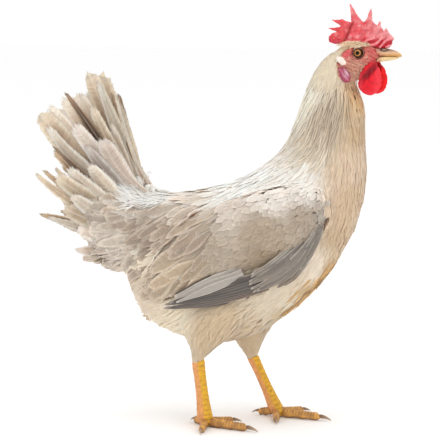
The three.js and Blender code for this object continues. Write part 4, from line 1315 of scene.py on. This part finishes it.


# ---------------------------------------------------------------------------------------------------
# The wattles: two flat pears of smooth red skin under the jaw, each with a hollow in its upper inner part,
# sunk in and painted dark as shade.
wattle_skin = bare_skin("wattle_skin", 620.0, 0.08, 0.0002, specular=0.3, glow=0.2)
for hand, name in hands:
    wattle = smooth_copy("wattle_" + name, "wattle_skin_" + name, 0.0006, 5)
    spots = corners(wattle)
    x, _, z = head_axes(spots)
    # the hollow runs from the jaw's corner down and back
    across, down = (x - 31.2) * 0.73 - (z - 372) * 0.68, (x - 31.2) * 0.68 + (z - 372) * 0.73
    hollow = np.exp(-((across / 3.8) ** 4) - (down / 12.0) ** 4)
    creases = np.sin(1.1 * (x - 32) + 0.12 * (z - 365)) * ramp(z, 352, 372)
    relief = rumple(spots, 0.2, 0.6) + 0.3 * creases - 1.4 * hollow
    set_corners(wattle, spots + outward(wattle) * relief[:, None])
    tone = layered(
        # painted light: the far, left wattle is a purer red, for the light that shines through it
        (218, 14, 36) if name == "right" else (232, 2, 4),
        (ramp(z, 376, 384) * 0.5, (206, 50, 60)),
        (ramp(z, 356, 350) * 0.4, (232, 60, 76)),
        (ramp(x, 18, 22) * ramp(x, 26, 22) * 0.4, (222, 80, 92)),
        # painted highlight: the near, right wattle is paler along its front edge
        (0.5 * ramp(x, 34, 40) * (name == "right"), (236, 62, 74)),
        # painted shade: the hollow is painted near-black crimson
        (hollow, (134, 0, 20)),
    )
    paint(wattle, "tone", tone * (1 + rumple(spots, 0.4, 0.2))[:, None])
    dress(wattle, "comb_skin", wattle_skin, "wattle_" + name)


# ---------------------------------------------------------------------------------------------------
# The ear lobes: a small pad of white skin behind each cheek, with a wrinkled violet sac under it.
lobe_skin = bare_skin("lobe_skin", 520.0, 0.12, 0.0003, glow=0.2)
# the pad's middle on the head's profile and its size as shares of the solid's, and the sac's
# middle, half sizes and lean
pad_middle, pad_share = (3.6, 383.2), (0.86, 0.45)
sac_middle, sac_halves, sac_lean = (7.2, 369.4), (5.6, 3.4, 9.2), math.radians(35)
sac_out = 0.2
for hand, name in hands:
    lobe = merged_copy("earlobe_" + name, "earlobe_skin_" + name)
    head = on_head(corners(lobe))
    cad_middle = (head.min(axis=0) + head.max(axis=0)) / 2
    head[:, 0] = head_pivot + pad_middle[0] + (head[:, 0] - cad_middle[0]) * pad_share[0]
    head[:, 2] = pad_middle[1] + (head[:, 2] - cad_middle[2]) * pad_share[1]
    set_corners(lobe, off_head(head))
    bpy.ops.object.select_all(action="DESELECT")
    bpy.ops.mesh.primitive_uv_sphere_add(segments=40, ring_count=28, radius=0.001, location=hip_mark)
    sac = bpy.context.object
    hold(sac)
    bpy.ops.object.transform_apply(location=True, rotation=True, scale=True)
    ball = corners(sac) * np.array(sac_halves)
    wide, long = ball[:, 0], ball[:, 2]
    sac_x = sac_middle[0] + wide * math.cos(sac_lean) - long * math.sin(sac_lean)
    sac_z = sac_middle[1] + wide * math.sin(sac_lean) + long * math.cos(sac_lean)
    set_corners(sac, off_head(np.column_stack([
        head_pivot + sac_x, hand * (abs(cad_middle[1]) + sac_out) + ball[:, 1], sac_z])))
    lobe = joined([lobe, sac])
    remesh(lobe, 0.0005, 5)
    lobe.data.shade_smooth()
    spots = corners(lobe)
    x, _, z = head_axes(spots)
    sac_wide = (x - sac_middle[0]) * math.cos(sac_lean) + (z - sac_middle[1]) * math.sin(sac_lean)
    sac_long = (z - sac_middle[1]) * math.cos(sac_lean) - (x - sac_middle[0]) * math.sin(sac_lean)
    sac_reach = np.hypot(sac_wide / sac_halves[0], sac_long / sac_halves[2])
    wrinkles = np.sin(1.5 * (x * 0.8 + z * 0.6) + rumple(spots, 0.25, 2.0))
    on_sac = ramp(z, 379.5, 377.0)
    relief = rumple(spots, 0.5, 0.5) + 0.35 * wrinkles * on_sac
    set_corners(lobe, spots + outward(lobe) * relief[:, None])
    paint(lobe, "tone", layered(
        (238, 222, 210),
        (on_sac, (172, 66, 96)),
        # painted sheen on the wrinkles' crests
        (on_sac * ramp(wrinkles, 0.2, 1.0) * 0.4, (196, 130, 152)),
        # painted highlight: a pale lilac spot on the sac
        (on_sac * rise(x - 10.5, 0, 3.2) * rise(z - 371, 0, 4.5) * 0.8, (212, 172, 184)),
        # painted shade in the wrinkles' furrows
        (on_sac * ramp(wrinkles, -0.3, -1.0) * 0.5, (132, 28, 58)),
        (on_sac * ramp(sac_reach, 0.72, 1.0) * 0.8, (138, 24, 52)),
        (rise(z - 378.6, 0, 1.0) * ramp(x, 5, 0), (150, 60, 76)),
    ))
    dress(lobe, "earlobe_skin", lobe_skin, "earlobe_" + name)


# ---------------------------------------------------------------------------------------------------
# The bill: two curved halves of horn, brown along the ridge and straw yellow at the sides, with a
# nostril under its flap on each side.
def horn_finish(name, roughness, gloss, scale, detail, span, gains, deep):
    """A material of horn, streaked by noise: span is the noise's range and gains what it makes of
    the piece's own colours, from darkest to palest."""
    finish, tree, shader = material(name, roughness, coat=gloss)
    streaks = cloud(tree, node(tree, "TexCoord").outputs["Object"], scale, detail)
    tone = gained(tree, own_layer(tree).outputs["Color"], ranged(tree, streaks, *span, *gains))
    bump = node(tree, "Bump", {"Height": streaks, "Strength": 0.4, "Distance": deep})
    wire(tree, shader, {"Base Color": tone, "Normal": bump.outputs["Normal"]})
    return finish


bill_horn = horn_finish("bill_horn", 0.35, 0.25, 420.0, 4.0, (0.3, 0.7), (0.86, 1.1), 0.0002)
for node_name in ("bill_upper", "bill_lower"):
    bill = smooth_copy(node_name, node_name + "_horn", 0.00045, 3)
    spots = corners(bill)
    x, y, z = head_axes(spots)
    is_upper = node_name == "bill_upper"
    ridge = ramp((z - z.min()) / (z.max() - z.min()), 0.42, 0.76) * is_upper
    nostril = np.zeros(len(spots))
    if is_upper:
        # a slit runs round the nostril's flap, sunk in and painted dark as shade
        slit = np.hypot((x - 45.2) / 2.4, z - 395.0)
        nostril = rise(slit, 1.5, 0.5) * ramp(np.abs(y), 1.5, 3.0)
        flap = (1 - ramp(slit, 0.6, 1.3)) * ramp(np.abs(y), 1.5, 3.0)
        set_corners(bill, spots + outward(bill) * (0.5 * flap - 0.8 * nostril)[:, None])
    gold = rise(z - 388 - 0.06 * (x - 44), 0, 2.1) * is_upper
    paint(bill, "tone", layered(
        (218, 174, 132) if is_upper else (228, 200, 146),
        (gold, (198, 138, 60)),
        (ramp(x, 54, 66) * 0.5, (222, 184, 108)),
        (ridge * 0.9, (142, 112, 92)),
        (ramp(x, 64, 69) * is_upper * 0.8, (134, 104, 80)),
        (ramp(x, 49, 42) * gold, (132, 76, 52)),
        (ramp(x, 44, 40) * 0.5, (186, 100, 92)),
        # painted shade in the nostril's slit
        (nostril, (62, 38, 30)),
    ))
    dress(bill, "bill_horn", bill_horn, node_name)


# ---------------------------------------------------------------------------------------------------
# The eyes: wet round eyeballs with a bronze iris round a black pupil, bulging a little at the
# cornea, set so that the lids close round them.
eye_gloss, eye_tree, eye_shader = material("eye_gloss", 0.08, specular=0.12)
eye_flecks = cloud(eye_tree, node(eye_tree, "TexCoord").outputs["Object"], 1500.0, 3.0)
eye_rings = own_layer(eye_tree, "ring").outputs["Fac"]
eye_wobble = maths(eye_tree, "MULTIPLY_ADD", eye_flecks, 0.5, eye_rings)
eye_reach = 8.0
eye_ramp = node(eye_tree, "ValToRGB", {"Fac": maths(eye_tree, "MULTIPLY", eye_wobble, 1 / eye_reach)})
wire(eye_tree, eye_shader, {"Base Color": eye_ramp.outputs["Color"]})
# from the middle out: the pupil and its rim, the bronze iris and its darker rim, and then painted shade,
# near black, on the ball's edge under the lids
eye_bands = (
    (0.0, (8, 6, 6)), (0.245, (10, 8, 8)), (0.28, (110, 72, 34)), (0.33, (182, 132, 72)),
    (0.41, (176, 124, 66)), (0.47, (100, 58, 32)), (0.52, (44, 26, 20)), (1.0, (28, 18, 16)),
)
eye_stops = eye_ramp.color_ramp.elements
for spare in list(eye_stops)[1:]:
    eye_stops.remove(spare)
eye_stops[0].color = (*tint(*eye_bands[0][1]), 1)
for stop, shade in eye_bands[1:]:
    eye_stops.new(stop).color = (*tint(*shade), 1)
gaze_up, gaze_forward, eye_out = 0.04, 0.12, 0.0007
cornea_high, cornea_wide = 0.55, 3.0
for hand, name in hands:
    low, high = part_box("eye_" + name)
    sideways = np.array([math.sin(head_turn) * hand, math.cos(head_turn) * hand, gaze_up])
    forwards = np.array([math.cos(head_turn), -math.sin(head_turn), 0.0])
    gaze = unit(sideways + gaze_forward * forwards)
    middle = (low + high) / 2 + Vector(gaze) * eye_out
    bpy.ops.object.select_all(action="DESELECT")
    bpy.ops.mesh.primitive_uv_sphere_add(segments=48, ring_count=32, radius=0.0046, location=middle)
    eye = bpy.context.object
    eye.name = "eyeball_" + name
    hold(eye)
    bpy.ops.object.transform_apply(location=True, rotation=True, scale=True)
    spots = corners(eye)
    centre = (np.array(middle) - np.array(hip_mark)) * 1000
    reach = spots - centre
    forth = reach @ gaze
    ring = np.linalg.norm(reach - forth[:, None] * gaze, axis=1)
    ring = np.where(forth > 0, ring, eye_reach)
    set_corners(eye, spots + gaze * (cornea_high * rise(ring, 0, cornea_wide))[:, None])
    keep_number(eye, "ring", ring)
    eye.data.shade_smooth()
    dress(eye, "eye", eye_gloss, "eye_" + name)


# ---------------------------------------------------------------------------------------------------
# The shanks and toes: yellow skin in broad plates down the front and over the toes, small scales
# behind, soft pads below, and dust worn into the joints between them.
leg_scales = bare_skin("leg_scales", 620.0, 0.22, 0.00025, seams=1.5, specular=0.45)


def plated(node_name, name, pitch, plate_side, wrap):
    """A leg part with rows of plates along its own length, on the side that plate_side points to."""
    part = smooth_copy(node_name, name, 0.0007, 3)
    spots = corners(part)
    middle = spots.mean(axis=0)
    _, _, axes = np.linalg.svd(spots - middle, full_matrices=False)
    length = axes[0] if axes[0][2] < 0 or abs(axes[0][2]) < 0.5 else -axes[0]
    front = unit(np.array(plate_side) - length * np.dot(plate_side, length))
    along = (spots - middle) @ length
    facing = outward(part) @ front
    phase = (along + wrap * (1 - facing)) / pitch
    tooth = phase - np.floor(phase)
    plates = ramp(facing, -0.1, 0.35)
    seam = (rise(tooth, 0.0, 0.09) + rise(tooth, 1.0, 0.09)) * plates
    bulge = (0.45 * np.sin(math.pi * tooth) ** 0.6 - 0.25) * plates
    low = ramp(spots[:, 2], 0.0, 1.6)
    lift = (bulge + rumple(spots, 0.6, 0.35) * (1 - plates) + rumple(spots, 1.6, 0.12)) * low
    set_corners(part, spots + outward(part) * lift[:, None])
    dust = np.clip(rumple(spots, 0.16, 1.0) + 0.55 * seam + 0.7 * ramp(spots[:, 2], 14, 3), 0, 1)
    keep_number(part, "seam", seam)
    return part, spots, facing, dust, seam


toes = ("hind", "inner", "middle", "outer")
for name in ("right", "left"):
    shank, spots, facing, dust, seam = plated(
        "shank_" + name, "shank_scales_" + name, 5.2, (1, 0, 0), 0.8)
    paint(shank, "tone", layered(
        (222, 168, 30),
        (0.9 * ramp(facing, 0.3, -0.3), (224, 152, 100)),
        (0.45 * dust, (184, 128, 62)),
        (seam * (0.25 + 0.3 * ramp(spots[:, 2], 40, 12)), (140, 94, 40)),
    ))
    dress(shank, "leg_skin", leg_scales, "shank_" + name)
    for toe in toes:
        part, spots, facing, dust, seam = plated(
            f"toe_{toe}_{name}", f"toe_scales_{toe}_{name}", 3.4, (0, 0, 1), 0.5)
        paint(part, "tone", layered(
            (226, 168, 86),
            (0.75 * dust, (150, 104, 62)),
            (0.6 * seam, (98, 66, 42)),
            (0.7 * ramp(spots[:, 2], 3.5, 0.5), (120, 84, 54)),
        ))
        dress(part, "leg_skin", leg_scales, f"toe_{toe}_{name}")


# ---------------------------------------------------------------------------------------------------
# The claws: blunt curved horn, brown at the root and pale grey brown at the worn tip.
claw_horn = horn_finish("claw_horn", 0.4, 0.2, 700.0, 3.0, (0.0, 1.0), (0.75, 1.25), 0.0001)
for name in ("right", "left"):
    for toe in toes:
        claw = smooth_copy(f"claw_{toe}_{name}", f"claw_horn_{toe}_{name}", 0.0004, 2)
        spots = corners(claw)
        ball = corners(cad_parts[f"toe_{toe}_{name}"]).mean(axis=0)
        out = np.linalg.norm(spots - ball, axis=1)
        worn = ramp(out, out.min(), out.max())[:, None]
        paint(claw, "tone", tint(122, 88, 60) * (1 - worn) + tint(176, 150, 122) * worn)
        dress(claw, "claw_horn", claw_horn, f"claw_{toe}_{name}")
